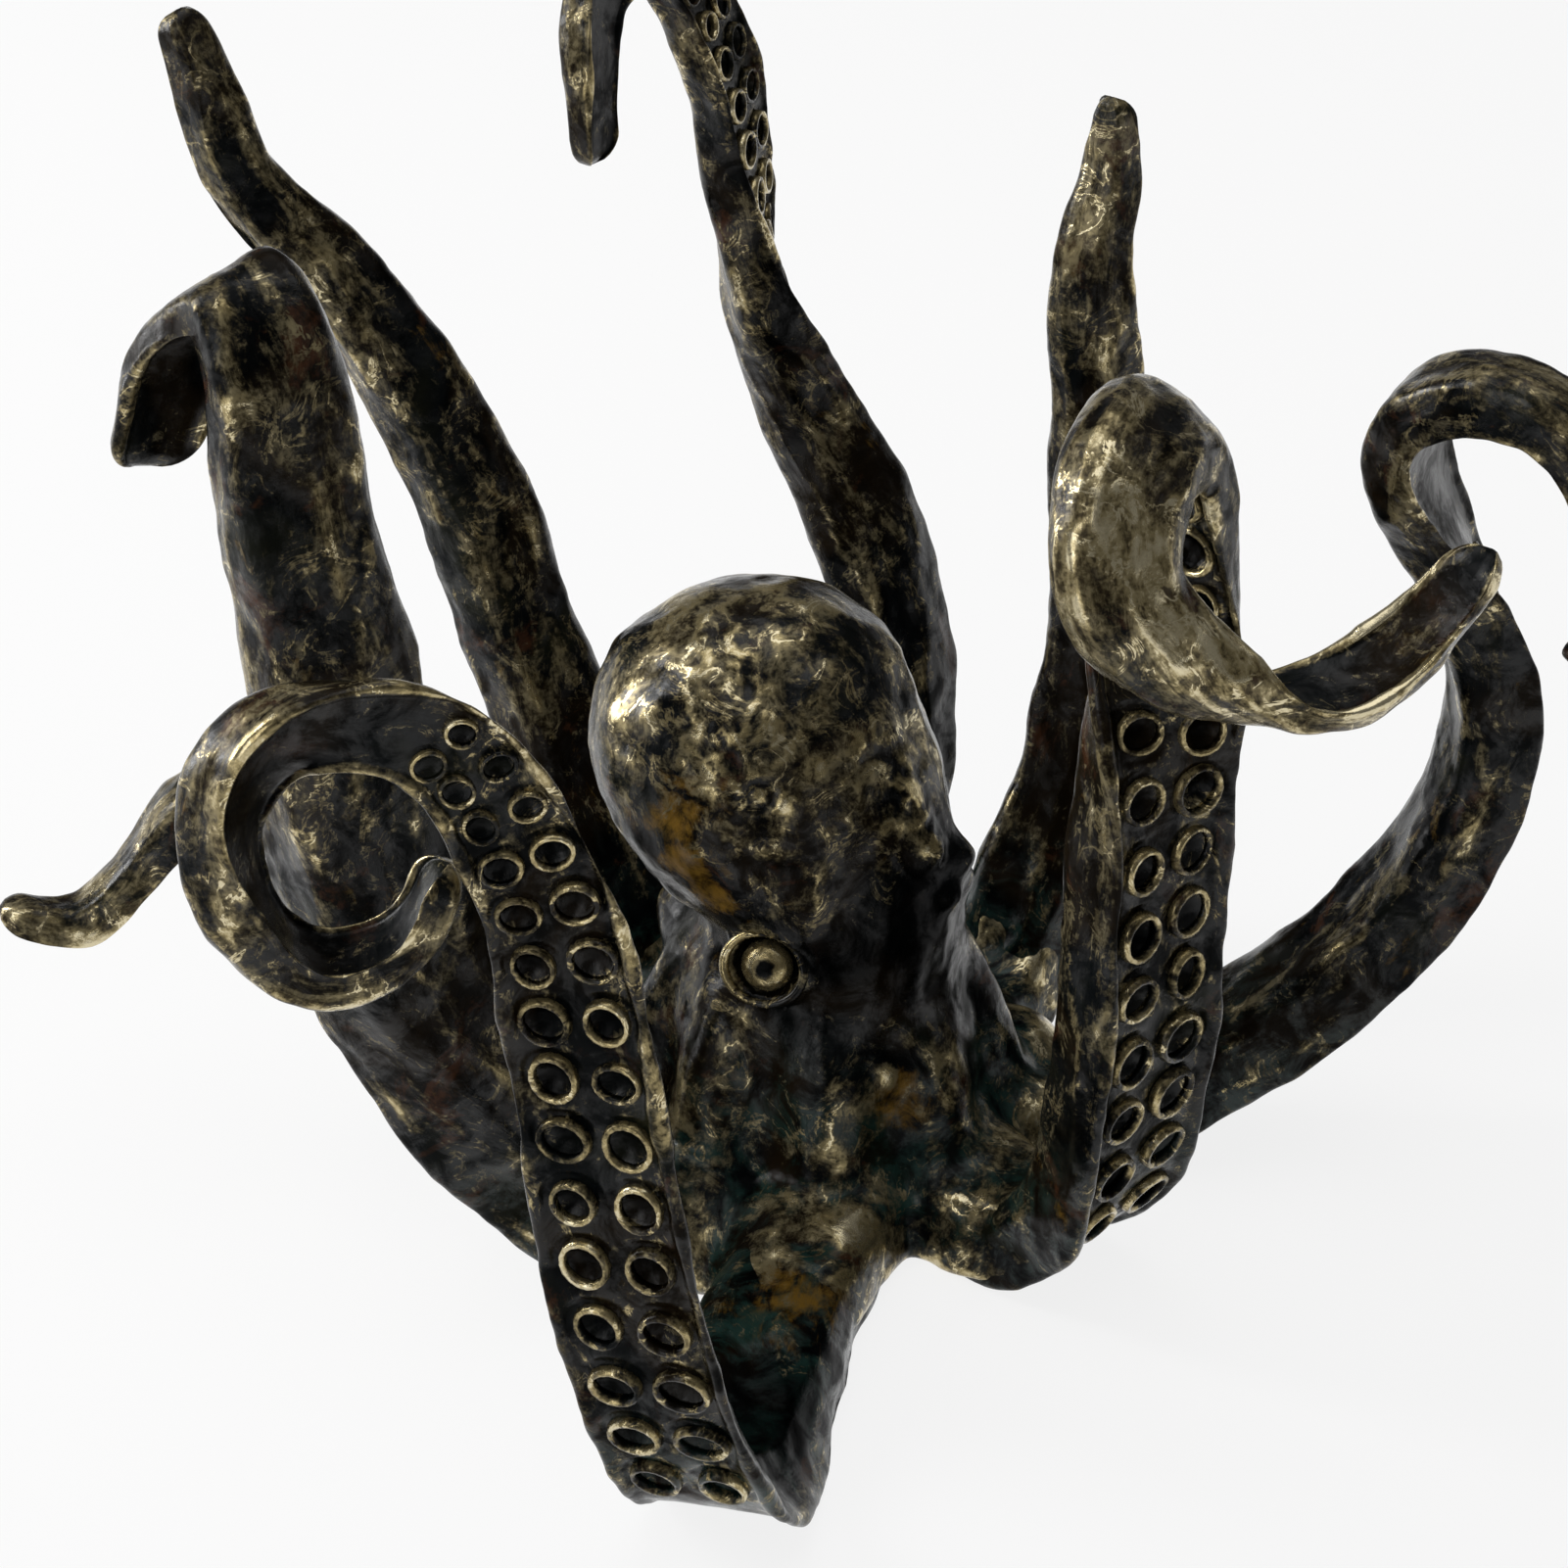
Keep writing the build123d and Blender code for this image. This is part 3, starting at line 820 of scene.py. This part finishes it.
def realized(piece):
    """The piece with its modifiers turned into plain mesh."""
    graph = bpy.context.evaluated_depsgraph_get()
    mesh = bpy.data.meshes.new_from_object(piece.evaluated_get(graph))
    piece.modifiers.clear()
    old = piece.data
    piece.data = mesh
    bpy.data.meshes.remove(old)
    return piece


# %% [markdown]
# ## Casting the arms
# Each ribbon is swept, then pushed about: large soft lumps, tool dents with ridges between them, and
# fine creases. A dish is pressed in for every sucker, and whatever would sink through the table is
# flattened into a foot. The rims from the node tree join it, and the wear is measured on the result.

# %% Make the arms
LUMP_SIZE = 14.0
LUMP_HEIGHT = 0.6
DENT_SIZE = 8.0
DENT_HEIGHT = 1.3
CREASE_SIZE = 2.6
CREASE_HEIGHT = 0.10
DISH_DEPTH = 0.5
GROOVE_DEPTH = 0.14
GROOVE_PLACE = 1.3
GROOVE_WIDTH = 0.16
# the shares of an arm between which hands begin to reach it
TOUCHED = (0.35, 0.80)
LIP_GILT = 0.8
SHOULDER_GILT = 0.6
# how gilt an arm's lips are at its foot, as a share of what they are where hands reach
LOW_LIP = 0.10
# how much less the trough is touched by hands and marked by tools
TROUGH_CLEAN = 0.8
TROUGH_SMOOTH = 0.7
# painted shade inside the front arm's bend: how strongly it darkens the back of the arm, and over what
# share its ends fade
SHADOW_SPAN_DARKNESS = 5.0
SHADOW_SPAN_FADE = 0.05


def modelled(points, grain, seed):
    """All that thumb and tool did to an arm, in millimetres; tool marks run along it."""
    push = lumps(points, LUMP_SIZE, LUMP_HEIGHT, seed) + lumps(grain, CREASE_SIZE, CREASE_HEIGHT, seed)
    return push + dents(grain, DENT_SIZE, DENT_HEIGHT, seed) - DENT_HEIGHT / 3


def press_dishes(points, seats_here):
    """Presses a dish into the ribbon under every sucker, and a shallow groove round it."""
    for middle, out, _, radius in seats_here:
        away = points - middle
        near = np.linalg.norm(away, axis=1)
        inside = np.nonzero(near < radius * (GROOVE_PLACE + 0.3))[0]
        share = near[inside] / radius
        depth = DISH_DEPTH * radius * np.clip(1 - share**2, 0, 1)
        depth += GROOVE_DEPTH * radius * np.exp(-(((share - GROOVE_PLACE) / GROOVE_WIDTH) ** 2))
        points[inside] -= out * depth[:, None]
    return points


def arm_finish(arm, line, sections, seed):
    """What steers an arm's finish: its gilt lips, its sucker face darkened as patina and as painted shade,
    painted shade inside a bend, where hands reach it and its grain.
    """
    count = len(line["places"])
    run = np.repeat(line["along"] * line["length"] * DRAWN_OUT, SECTION_POINTS)
    grain = np.concatenate([sections.reshape(-1, 2), run[:, None]], 1) + 100 * seed
    rise = eased((line["along"] - TOUCHED[0]) / (TOUCHED[1] - TOUCHED[0]))[:, None]
    edges = LIP_GILT * lip + SHOULDER_GILT * arm["touch"] * shoulder
    # painted shade and patina darken the sucker face
    trough_and_bend_shade = np.tile(trough, (count, 1))
    # painted shade darkens the back of the arm inside the bend
    if "shadow_span" in arm:
        start, end = arm["shadow_span"]
        shadow_span = eased((line["along"] - start) / SHADOW_SPAN_FADE) * (1 - eased((line["along"] - end) / SHADOW_SPAN_FADE))
        trough_and_bend_shade += SHADOW_SPAN_DARKNESS * shadow_span[:, None] * eased((section[:, 1] - 0.5) / 0.3)
    ends = [0, 0]
    return dict(
        lips=np.concatenate([((LOW_LIP + (1 - LOW_LIP) * rise) * edges).ravel(), ends]),
        dark_colour_and_painted_shade=np.concatenate([trough_and_bend_shade.ravel(), ends]),
        touch=np.concatenate([(arm["touch"] * rise * (1 - TROUGH_CLEAN * trough)).ravel(), ends]),
        grain=np.concatenate([grain, grain[[0, -1]]]),
    )


def ribbon(name):
    """The swept arm, lumpy, flat at the foot and dished for its suckers, and its finish."""
    arm, line = ARMS[name], lines[name]
    count = len(line["places"])
    seed = list(ARMS).index(name) + 1
    sections = arm_sections(arm, line)
    points = sweep(line["places"], line["across"], line["back"], sections)
    piece = mesh_piece(name + "_cast", points, tube_faces(count, SECTION_POINTS))
    points, normals, edges = mesh_points(piece.data)
    finish = arm_finish(arm, line, sections, seed)
    finish["plain"] = proudness(points, normals, edges, RUB_ROUNDS)
    in_trough = np.concatenate([np.tile(trough, count), [0, 0]])
    push = modelled(points, finish["grain"], seed) * (1 - TROUGH_SMOOTH * in_trough)
    blunt = np.clip(arm_widths(arm, line) / arm["tip"], 0, 1) ** 2
    push *= np.concatenate([np.repeat(blunt, SECTION_POINTS), [0, 0]])
    points = press_dishes(points + normals * push[:, None], seats[name])
    points[:, 2] = np.maximum(points[:, 2], FLOOR)
    set_points(piece.data, points)
    return piece, finish


def rim_ring(name, tree):
    """The rims of one arm, set by the node tree on its sucker points."""
    middles, outs, headings, radii = zip(*seats[name])
    piece = mesh_piece(name + "_rims", middles, [])
    store(piece.data, "out", outs, "FLOAT_VECTOR")
    store(piece.data, "heading", headings, "FLOAT_VECTOR")
    store(piece.data, "size", np.array(radii) * MM)
    modifier = piece.modifiers.new("rims", "NODES")
    modifier.node_group = tree
    inputs = {item.name: item.identifier for item in tree.interface.items_tree if item.in_out == "INPUT"}
    modifier[inputs["Seed"]] = list(ARMS).index(name) + 1
    return realized(piece)


def joined(pieces, name):
    """One object from several."""
    bpy.ops.object.select_all(action="DESELECT")
    for piece in pieces:
        piece.select_set(True)
    bpy.context.view_layer.objects.active = pieces[0]
    bpy.ops.object.join()
    pieces[0].name = name
    return pieces[0]


rims = rim_tree(bronze)
print("rim tree:", len(rims.nodes), "nodes")
for name in ARMS:
    casting, finish = ribbon(name)
    casting.data.materials.append(bronze)
    arm_piece = joined([casting, rim_ring(name, rims)], name + "_cast")
    wear(arm_piece.data, **finish)
    hand_over(arm_piece, name)

# %% [markdown]
# ## The body
# Mantle, head and web are one soft form with arms flowing out of it. It is built the way a sculptor
# would: a leaning egg, a cone of skin, a few lumps of wax and a sleeve for every arm are pushed into
# each other. A voxel remesh fuses them, and smoothing draws the joints into fillets. The eye rims are
# added afterwards, so that they stay crisp.

# %% Body forms
HUB_HEIGHT = 13.0
THROAT = (1, -2, 28)
HEAD = (3.0, -4.5, 45.5)
MANTLE_MIDDLE = (-8.5, 2.0, 71.0)
CROWN = (-20.0, 9.5, 95.5)
MANTLE_RADIUS = 25.5
HEAD_SHARE = 0.72
SPINE_STEP = 1.2
MANTLE_POINTS = 64
SKIRT_POINTS = 128
BODY_RINGS = [
    (0.00, 0.88), (0.10, 0.82), (0.22, 0.75), (0.34, HEAD_SHARE), (0.44, 0.77), (0.56, 0.91),
    (0.68, 1.00), (0.80, 0.97), (0.90, 0.80), (0.96, 0.56), (1.00, 0.12),
]
# radius, height and ridges of the web: the arms run up the head as ridges with hollows between them
SKIRT = [
    (33.0, 0.4, 0.00), (34.5, 2.0, 0.00), (33.5, 5.5, 0.02), (30.5, 11, 0.06),
    (28.5, 19, 0.10), (26.5, 29, 0.09), (22.0, 40, 0.04), (17.0, 47, 0.00),
]
# lumps of wax that close the web where the roots of two arms part: middle and radius
FILLS = [((-18, 11, 36), 9), ((-15, -30, 5), 8), ((-19, -35, 4), 6), ((31, 9, 9), 9)]
SLEEVE_LENGTH = 42.0
SLEEVE_PROUD = 2.8
SLEEVE_SUNK = -1.6
SLEEVE_FLOOR = 0.4
VOXEL = 0.8
FILLET_ROUNDS = 40
# the finer skin that carries the eyes and the tool strokes
SKIN_VOXEL = 0.72
SKIN_ROUNDS = 4


def mantle():
    """A round form swept up the leaning spine."""
    spine, _ = spline_places([(0, 0, HUB_HEIGHT), THROAT, HEAD, MANTLE_MIDDLE, CROWN], SPINE_STEP)
    heading = np.gradient(spine, axis=0)
    heading /= np.linalg.norm(heading, axis=1)[:, None]
    across = np.cross([0, 1.0, 0], heading)
    across /= np.linalg.norm(across, axis=1)[:, None]
    back = np.cross(heading, across)
    along = np.linspace(0, 1, len(spine))
    places, shares = np.array(BODY_RINGS).T
    radii = MANTLE_RADIUS * np.interp(along, places, shares)
    turn = np.linspace(0, 2 * math.pi, MANTLE_POINTS, endpoint=False)
    circle = np.stack([np.cos(turn), np.sin(turn)], 1)
    points = sweep(spine, across, back, circle[None] * radii[:, None, None])
    return mesh_piece("mantle", points, tube_faces(len(spine), MANTLE_POINTS))


def sleeve(name):
    """The skin of the web round the first stretch of an arm, proud at the root and sunk at its end."""
    arm, line = ARMS[name], lines[name]
    count = int(SLEEVE_LENGTH / RING_STEP)
    share = np.arange(len(line["along"])) / count
    sections = arm_sections(arm, line, SLEEVE_PROUD + (SLEEVE_SUNK - SLEEVE_PROUD) * eased(share))[:count]
    points = sweep(line["places"][:count], line["across"][:count], line["back"][:count], sections)
    points[:, 2] = np.maximum(points[:, 2], SLEEVE_FLOOR)
    return mesh_piece(name + "_sleeve", points, tube_faces(count, SECTION_POINTS))


def skirt():
    """The cone of skin between the arms and up to the head."""
    turn = np.linspace(0, 2 * math.pi, SKIRT_POINTS, endpoint=False)
    rings = []
    for radius, height, ridge in SKIRT:
        reach = radius * (1 + ridge * np.cos(ARM_COUNT * turn))
        level = np.full(len(turn), height)
        rings.append(np.stack([reach * np.cos(turn), reach * np.sin(turn), level], 1))
    ends = np.stack([rings[0].mean(0), rings[-1].mean(0)])
    return mesh_piece("skirt", np.concatenate(rings + [ends]), tube_faces(len(rings), len(turn)))


def fused(piece, voxel, rounds):
    """One skin round everything, with its joints drawn into fillets."""
    remesh = piece.modifiers.new("skin", "REMESH")
    remesh.mode = "VOXEL"
    remesh.voxel_size = voxel * MM
    realized(piece)
    points, _, edges = mesh_points(piece.data)
    set_points(piece.data, smoothed(points, edges, rounds))


def ball(middle, radius):
    """A lump of wax."""
    made = bmesh.new()
    bmesh.ops.create_icosphere(made, subdivisions=3, radius=radius * MM)
    bmesh.ops.translate(made, verts=made.verts, vec=Vector(middle) * MM)
    mesh = bpy.data.meshes.new("lump")
    made.to_mesh(mesh)
    made.free()
    piece = bpy.data.objects.new("lump", mesh)
    bpy.context.collection.objects.link(piece)
    return piece


fills = [ball(middle, radius) for middle, radius in FILLS]
body_piece = joined([mantle(), skirt()] + fills + [sleeve(name) for name in ARMS], "body_cast")
fused(body_piece, VOXEL, FILLET_ROUNDS)
print("body skin:", len(body_piece.data.vertices), "points")

# %% [markdown]
# ## The eyes
# An eye is a thin ring round a dark groove with a domed bead in it. A collar lifts the ring off the
# head, the groove is pressed in after the collar has fused, and the ring is laid on top as a wire of
# its own so that it stays crisp.

# %% Eyes
FACING = 317.0
EYE_SPREAD = 82.0
EYE_TURN = 18.0
EYE_RISE = 20.0
EYE_PROUD = 2.6
EYE_UP = 3.0
EYE_SQUASH = 0.88
EYE_POINTS = 48
# radius and height of the swelling that carries an eye, from its back to its front
COLLAR = [(4.0, -10.0), (8.0, -6.0), (7.2, -2.6), (6.5, -0.6), (5.6, -0.3), (0.5, -0.3)]
RIM_RADIUS = 6.2
RIM_WIRE = 0.72
WIRE_POINTS = 64
WIRE_SIDES = 12
SOCKET_DEPTH = 2.8
SOCKET_MARGIN = 0.3
# heights over the eye's middle between which the socket is pressed in
SOCKET_REACH = (-6, 3)
BEAD_RADIUS = 4.0
BEAD_DOME = 2.6
BEAD_EDGE = -2.0
BEAD_BACK = -2.8
DOME_RINGS = 13
PUPIL_RADIUS = 0.4
PUPIL_FADE = 1.7


def eye_frame(side):
    """Middle of an eye, the way it looks, and two ways across it."""
    seat = math.radians(FACING + side * EYE_SPREAD)
    turn = math.radians(FACING + side * (EYE_SPREAD - EYE_TURN))
    rise = math.radians(EYE_RISE)
    reach = MANTLE_RADIUS * HEAD_SHARE + EYE_PROUD
    middle = np.array(HEAD) + [reach * math.cos(seat), reach * math.sin(seat), EYE_UP]
    looks = np.array([math.cos(turn) * math.cos(rise), math.sin(turn) * math.cos(rise), math.sin(rise)])
    across = np.array([-math.sin(turn), math.cos(turn), 0])
    return middle, looks, across, np.cross(looks, across)


def lathe(side, profile, squash):
    """A round form about an eye's line of sight: (radius, height) from its back to its front."""
    middle, looks, across, up = eye_frame(side)
    turn = np.linspace(0, 2 * math.pi, EYE_POINTS, endpoint=False)
    round_way = np.cos(turn)[:, None] * across + squash * np.sin(turn)[:, None] * up
    rings = np.array([middle + looks * height + round_way * radius for radius, height in profile])
    ends = np.stack([rings[0].mean(0), rings[-1].mean(0)])
    return np.concatenate([rings.reshape(-1, 3), ends]), tube_faces(len(rings), EYE_POINTS)


def collar(side):
    """The swelling that carries an eye."""
    return mesh_piece("collar", *lathe(side, COLLAR, EYE_SQUASH))


def press_socket(points, side):
    """Sinks the skin inside an eye's ring."""
    middle, looks, across, up = eye_frame(side)
    away = points - middle
    height = away @ looks
    share = np.hypot(away @ across, away @ up / EYE_SQUASH) / (RIM_RADIUS - SOCKET_MARGIN)
    inside = (share < 1) & (height > SOCKET_REACH[0]) & (height < SOCKET_REACH[1])
    floor = -SOCKET_DEPTH * (1 - share**6)
    drop = np.where(inside, np.maximum(height - floor, 0), 0)
    return points - looks * drop[:, None]


def wire(side):
    """The thin ring of an eye."""
    turn = np.linspace(0, 2 * math.pi, WIRE_POINTS, endpoint=False)
    middle, looks, across, up = eye_frame(side)
    round_way = np.cos(turn)[:, None] * across + EYE_SQUASH * np.sin(turn)[:, None] * up
    points = []
    for angle in np.linspace(0, 2 * math.pi, WIRE_SIDES, endpoint=False):
        radius = RIM_RADIUS + RIM_WIRE * math.cos(angle)
        points.append(middle + round_way * radius + looks * RIM_WIRE * math.sin(angle))
    faces = []
    for ring in range(WIRE_SIDES):
        here = ring * WIRE_POINTS
        beside = (ring + 1) % WIRE_SIDES * WIRE_POINTS
        for point in range(WIRE_POINTS):
            following = (point + 1) % WIRE_POINTS
            faces.append((here + point, here + following, beside + following, beside + point))
    return mesh_piece("wire", np.concatenate(points), faces)


def bead(side, name):
    """A domed bead, dark in its middle."""
    profile = [(BEAD_RADIUS * 0.9, BEAD_BACK), (BEAD_RADIUS, BEAD_EDGE)]
    for turn in np.linspace(0, 0.5 * math.pi, DOME_RINGS + 1)[:-1]:
        profile.append((BEAD_RADIUS * math.cos(turn), BEAD_EDGE + BEAD_DOME * math.sin(turn)))
    piece = mesh_piece(name + "_bead", *lathe(side, profile, 1.0))
    piece.data.materials.append(bronze)
    radii = np.repeat([radius for radius, _ in profile], EYE_POINTS)
    pupil = 1 - eased((np.concatenate([radii, [BEAD_RADIUS, 0]]) - PUPIL_RADIUS) / PUPIL_FADE)
    wear(piece.data, lips=0.6 - 1.5 * pupil, dark_colour_and_painted_shade=2.5 * pupil, touch=0.5)
    hand_over(piece, name)


body_piece = joined([body_piece, collar(-1), collar(1)], "body_cast")
fused(body_piece, SKIN_VOXEL, SKIN_ROUNDS)
bead(-1, "eye_left")
bead(1, "eye_right")

# %% [markdown]
# ## Modelling the skin
# The mantle carries tool strokes: a long crease over its crown, shorter ones beside it, the edge of the
# hood above the near eye and one ring-shaped mark. Each stroke is a line of places on the skin. It
# sinks the points near it and raises a little burr on both sides, where the finish will be rubbed to
# gold.

# %% Finish the body
# half width, depth (a ridge where it is negative), how far its edge is rubbed to gold, and the places that
# it runs through
STROKES = [
    (1.2, 0.35, 0.3, [(-17, -3, 105), (-18, -7, 102), (-16, -10, 99), (-17, -14, 95)]),
    (0.8, 0.35, 0.8, [(-18, -16, 91), (-15, -19, 86), (-12, -21, 81)]),
    (0.7, 0.2, 0.8, [(-23, -11, 95), (-20, -14, 93), (-18, -17, 89), (-15, -19, 85)]),
    (0.7, 0.2, 0.7, [(-11, -11, 98), (-11, -14, 95), (-12, -17, 91), (-13, -18, 87)]),
    (0.6, 0.2, 0.7, [(-8, -15, 93), (-10, -17, 90), (-11, -19, 86)]),
    (0.6, 0.15, 0.6, [(-4, -16, 89), (-6, -19, 86), (-8, -20, 84)]),
    (0.8, 0.2, 0.6, [(-22, -17, 85), (-18, -19, 81), (-15, -21, 80), (-13, -22, 79)]),
    (0.7, 0.15, 0.4, [(4, -11, 89), (6, -14, 85), (5, -18, 80)]),
    (2.2, -1.0, 0.5, [(7, -17, 77), (10, -15, 77), (14, -13, 73), (17, -12, 68)]),
    (2.2, -1.1, 0.3, [(8, -20, 71), (12, -17, 71), (15, -15, 66), (18, -13, 60)]),
    (1.0, 0.3, 0.4, [(7, -18, 75), (9, -18, 73), (11, -16, 72)]),
    (1.8, 0.5, 0.2, [(-15, -22, 64), (-11, -23, 67), (-6, -24, 66), (-4, -25, 60)]),
]
RING_MARK = (-9.5, -22, 79)
RING_MARK_RADIUS = 1.9
RING_MARK_WIDTH = 0.7
RING_MARK_DEPTH = 0.6
# raised lumps over the far eye and on the chin: middle, radius, height and how far they are rubbed to gold
LUMPS = [
    ((20, -9, 60), 3.4, 3.4, 0.0), ((15.5, -15.5, 65), 2.8, 2.2, 0.2), ((18, -13.5, 56), 2.6, 2.2, 0.0),
    ((21, -6, 54), 3.0, 1.8, 0.0), ((8.5, -20.5, 29.5), 2.2, 1.4, 1.0), ((12.5, -18.5, 24), 2.4, 1.5, 1.0),
    ((15, -17, 27.5), 2.0, 1.3, 0.8),
]
# painted shade on the head's dark side, beside the brow and under the hood: middle and radius
SHADOW_SPOTS = [((14, -18, 56), 12), ((19, -11, 58), 7), ((4, -24, 50), 9)]
# how dark the painted shade there is, and how much less gold it leaves
SHADOW_SPOT_STRENGTH = 2.5
SHADOW_SPOT_CLEAN = 0.8
# size, height and seed of the lumps, creases and dents of the skin
SKIN_LUMPS = (16.0, 0.9, 21)
SKIN_CREASES = (4.0, 0.07, 22)
SKIN_DENTS = (11.0, 0.8, 23)
SKIN_SUNK = 0.3
SKIN_DRAWN = (1, 1, 0.75)
# how much hands reach the mantle and the web, and the heights in mm where that starts or ends; the gold
# rising towards the mantle's top is also a painted highlight
MANTLE_RUB_AND_HIGHLIGHT = 0.46
MANTLE_HEIGHTS = (54, 80)
WEB_TOUCH = 0.6
WEB_HEIGHTS = (10, 40)
STROKE_TOUCH = 0.9
STROKE_GILT = 1.1


def stroke(points, half_width, depth, gilt, stops):
    """How far one stroke sinks each point, and how gold it leaves it; it wavers and fades at both ends."""
    path, _ = spline_places(stops, 0.5)
    path = points[[np.linalg.norm(points - place, axis=1).argmin() for place in path]]
    ways = np.array([np.linalg.norm(points - place, axis=1) for place in path])
    share = (ways.min(0) + lumps(points, 3.0, 0.9, 31)) / half_width
    fade = np.sin(np.pi * (0.08 + 0.84 * ways.argmin(0) / len(path)))
    sink = depth * fade * (np.exp(-(share**2)) - 0.25 * np.exp(-(((share - 2) / 0.6) ** 2)))
    edge = 1.4 if depth > 0 else 0.0
    broken = eased(0.5 + lumps(points, 2.5, 1.4, 37))
    return sink, gilt * fade * broken * np.exp(-(((share - edge) / 0.5) ** 2))


points, normals, edges = mesh_points(body_piece.data)
drawn = points * SKIN_DRAWN
push = lumps(points, *SKIN_LUMPS) + lumps(drawn, *SKIN_CREASES) + dents(drawn, *SKIN_DENTS) - SKIN_SUNK
gilding = np.zeros(len(points))
for half_width, depth, gilt, stops in STROKES:
    sink, gold = stroke(points, half_width, depth, gilt, stops)
    push -= sink
    gilding = np.maximum(gilding, gold)
from_ring = abs(np.linalg.norm(points - RING_MARK, axis=1) - RING_MARK_RADIUS)
push -= RING_MARK_DEPTH * np.exp(-((from_ring / RING_MARK_WIDTH) ** 2))
for place, radius, height, gilt in LUMPS:
    mound = np.exp(-((np.linalg.norm(points - place, axis=1) / radius) ** 2))
    push += height * mound
    gilding = np.maximum(gilding, gilt * mound)
points += normals * push[:, None]
for side in (-1, 1):
    points = press_socket(points, side)
points[:, 2] = np.maximum(points[:, 2], FLOOR)
set_points(body_piece.data, points)
body_piece = joined([body_piece, wire(-1), wire(1)], "body_cast")
body_piece.data.materials.clear()
body_piece.data.materials.append(bronze)
points, _, _ = mesh_points(body_piece.data)
on_mantle, on_web = [
    eased((points[:, 2] - low) / (high - low)) for low, high in (MANTLE_HEIGHTS, WEB_HEIGHTS)
]
# painted shade on the head's dark side, with less rubbing to gold in it
dark = spotted(points, SHADOW_SPOTS)
# rubbed gold, lighter towards the mantle's top as a painted highlight
touched = (MANTLE_RUB_AND_HIGHLIGHT * on_mantle + WEB_TOUCH * (1 - on_web)) * (1 - SHADOW_SPOT_CLEAN * dark)
touched[:len(gilding)] += STROKE_TOUCH * gilding
wear(body_piece.data, lips=STROKE_GILT * gilding, dark_colour_and_painted_shade=SHADOW_SPOT_STRENGTH * dark, touch=touched)
hand_over(body_piece, "body")

# %% [markdown]
# ## Floor and light
# Dark metal shows its surroundings more than its colour. The object stands on a wide white floor, so
# its edges catch a pale rim while its hollows see only each other and stay black. Soft boxes at the
# left and at the front left draw long highlights, and a broad one overhead shapes the rest. To the eye
# and in mirrors the floor is mixed with plain white, which keeps the ground white without more light.

# %% Stage
FLOOR_HALF = 6.0
FLOOR_COLOUR = (0.86, 0.86, 0.86, 1)
WHITE = (1, 1, 1, 1)
SURROUND = 0.15
PAPER_SHARE = 0.84
SEEN_BY = ("Is Camera Ray", "Is Glossy Ray", "Is Transmission Ray")


def stage_floor():
    """A wide pale floor."""
    material = bpy.data.materials.new("pale floor")
    material.use_nodes = True
    tree = material.node_tree
    shader = tree.nodes["Principled BSDF"]
    shader.inputs["Base Color"].default_value = FLOOR_COLOUR
    shader.inputs["Roughness"].default_value = 0.9
    shader.inputs["Specular IOR Level"].default_value = 0.1
    paper = tree.nodes.new("ShaderNodeEmission")
    paper.inputs["Color"].default_value = WHITE
    rays = tree.nodes.new("ShaderNodeLightPath")
    seen = sums(tree, *[(rays.outputs[title], 1) for title in SEEN_BY])
    blend = tree.nodes.new("ShaderNodeMixShader")
    share = reckon(tree, "MULTIPLY", reckon(tree, "MINIMUM", seen, 1.0), PAPER_SHARE)
    link(tree, share, blend.inputs["Fac"])
    link(tree, shader.outputs["BSDF"], blend.inputs[1])
    link(tree, paper.outputs["Emission"], blend.inputs[2])
    link(tree, blend.outputs["Shader"], tree.nodes["Material Output"].inputs["Surface"])
    mesh = bpy.data.meshes.new("floor")
    corners = [(x * FLOOR_HALF, y * FLOOR_HALF, 0) for x, y in ((-1, -1), (1, -1), (1, 1), (-1, 1))]
    mesh.from_pydata(corners, [], [(0, 1, 2, 3)])
    mesh.materials.append(material)
    floor = bpy.data.objects.new("floor", mesh)
    bpy.context.collection.objects.link(floor)


def lamp(name, place, width, tall, power, aim=(0, 0, 0.07)):
    """A soft box that looks at the object."""
    light = bpy.data.lights.new(name, "AREA")
    light.shape = "RECTANGLE"
    light.size = width
    light.size_y = tall
    light.energy = power
    holder = bpy.data.objects.new(name, light)
    holder.location = place
    holder.rotation_euler = (Vector(aim) - Vector(place)).to_track_quat("-Z", "Y").to_euler()
    bpy.context.collection.objects.link(holder)


stage_floor()
lamp("left", (-1.1, 0.25, 0.42), 0.34, 1.00, 14)
lamp("front", (-0.75, -1.0, 0.55), 0.60, 0.90, 4)
lamp("top", (-0.1, 0.1, 1.3), 1.40, 1.40, 7.5)
world = bpy.context.scene.world or bpy.data.worlds.new("surround")
bpy.context.scene.world = world
world.use_nodes = True
background = world.node_tree.nodes["Background"]
background.inputs["Color"].default_value = WHITE
background.inputs["Strength"].default_value = SURROUND
bpy.context.scene.view_settings.view_transform = "Standard"

# %% [markdown]
# ## The last update
# The last cell brings the scene up to date.

# %% Update
bpy.context.view_layer.update()
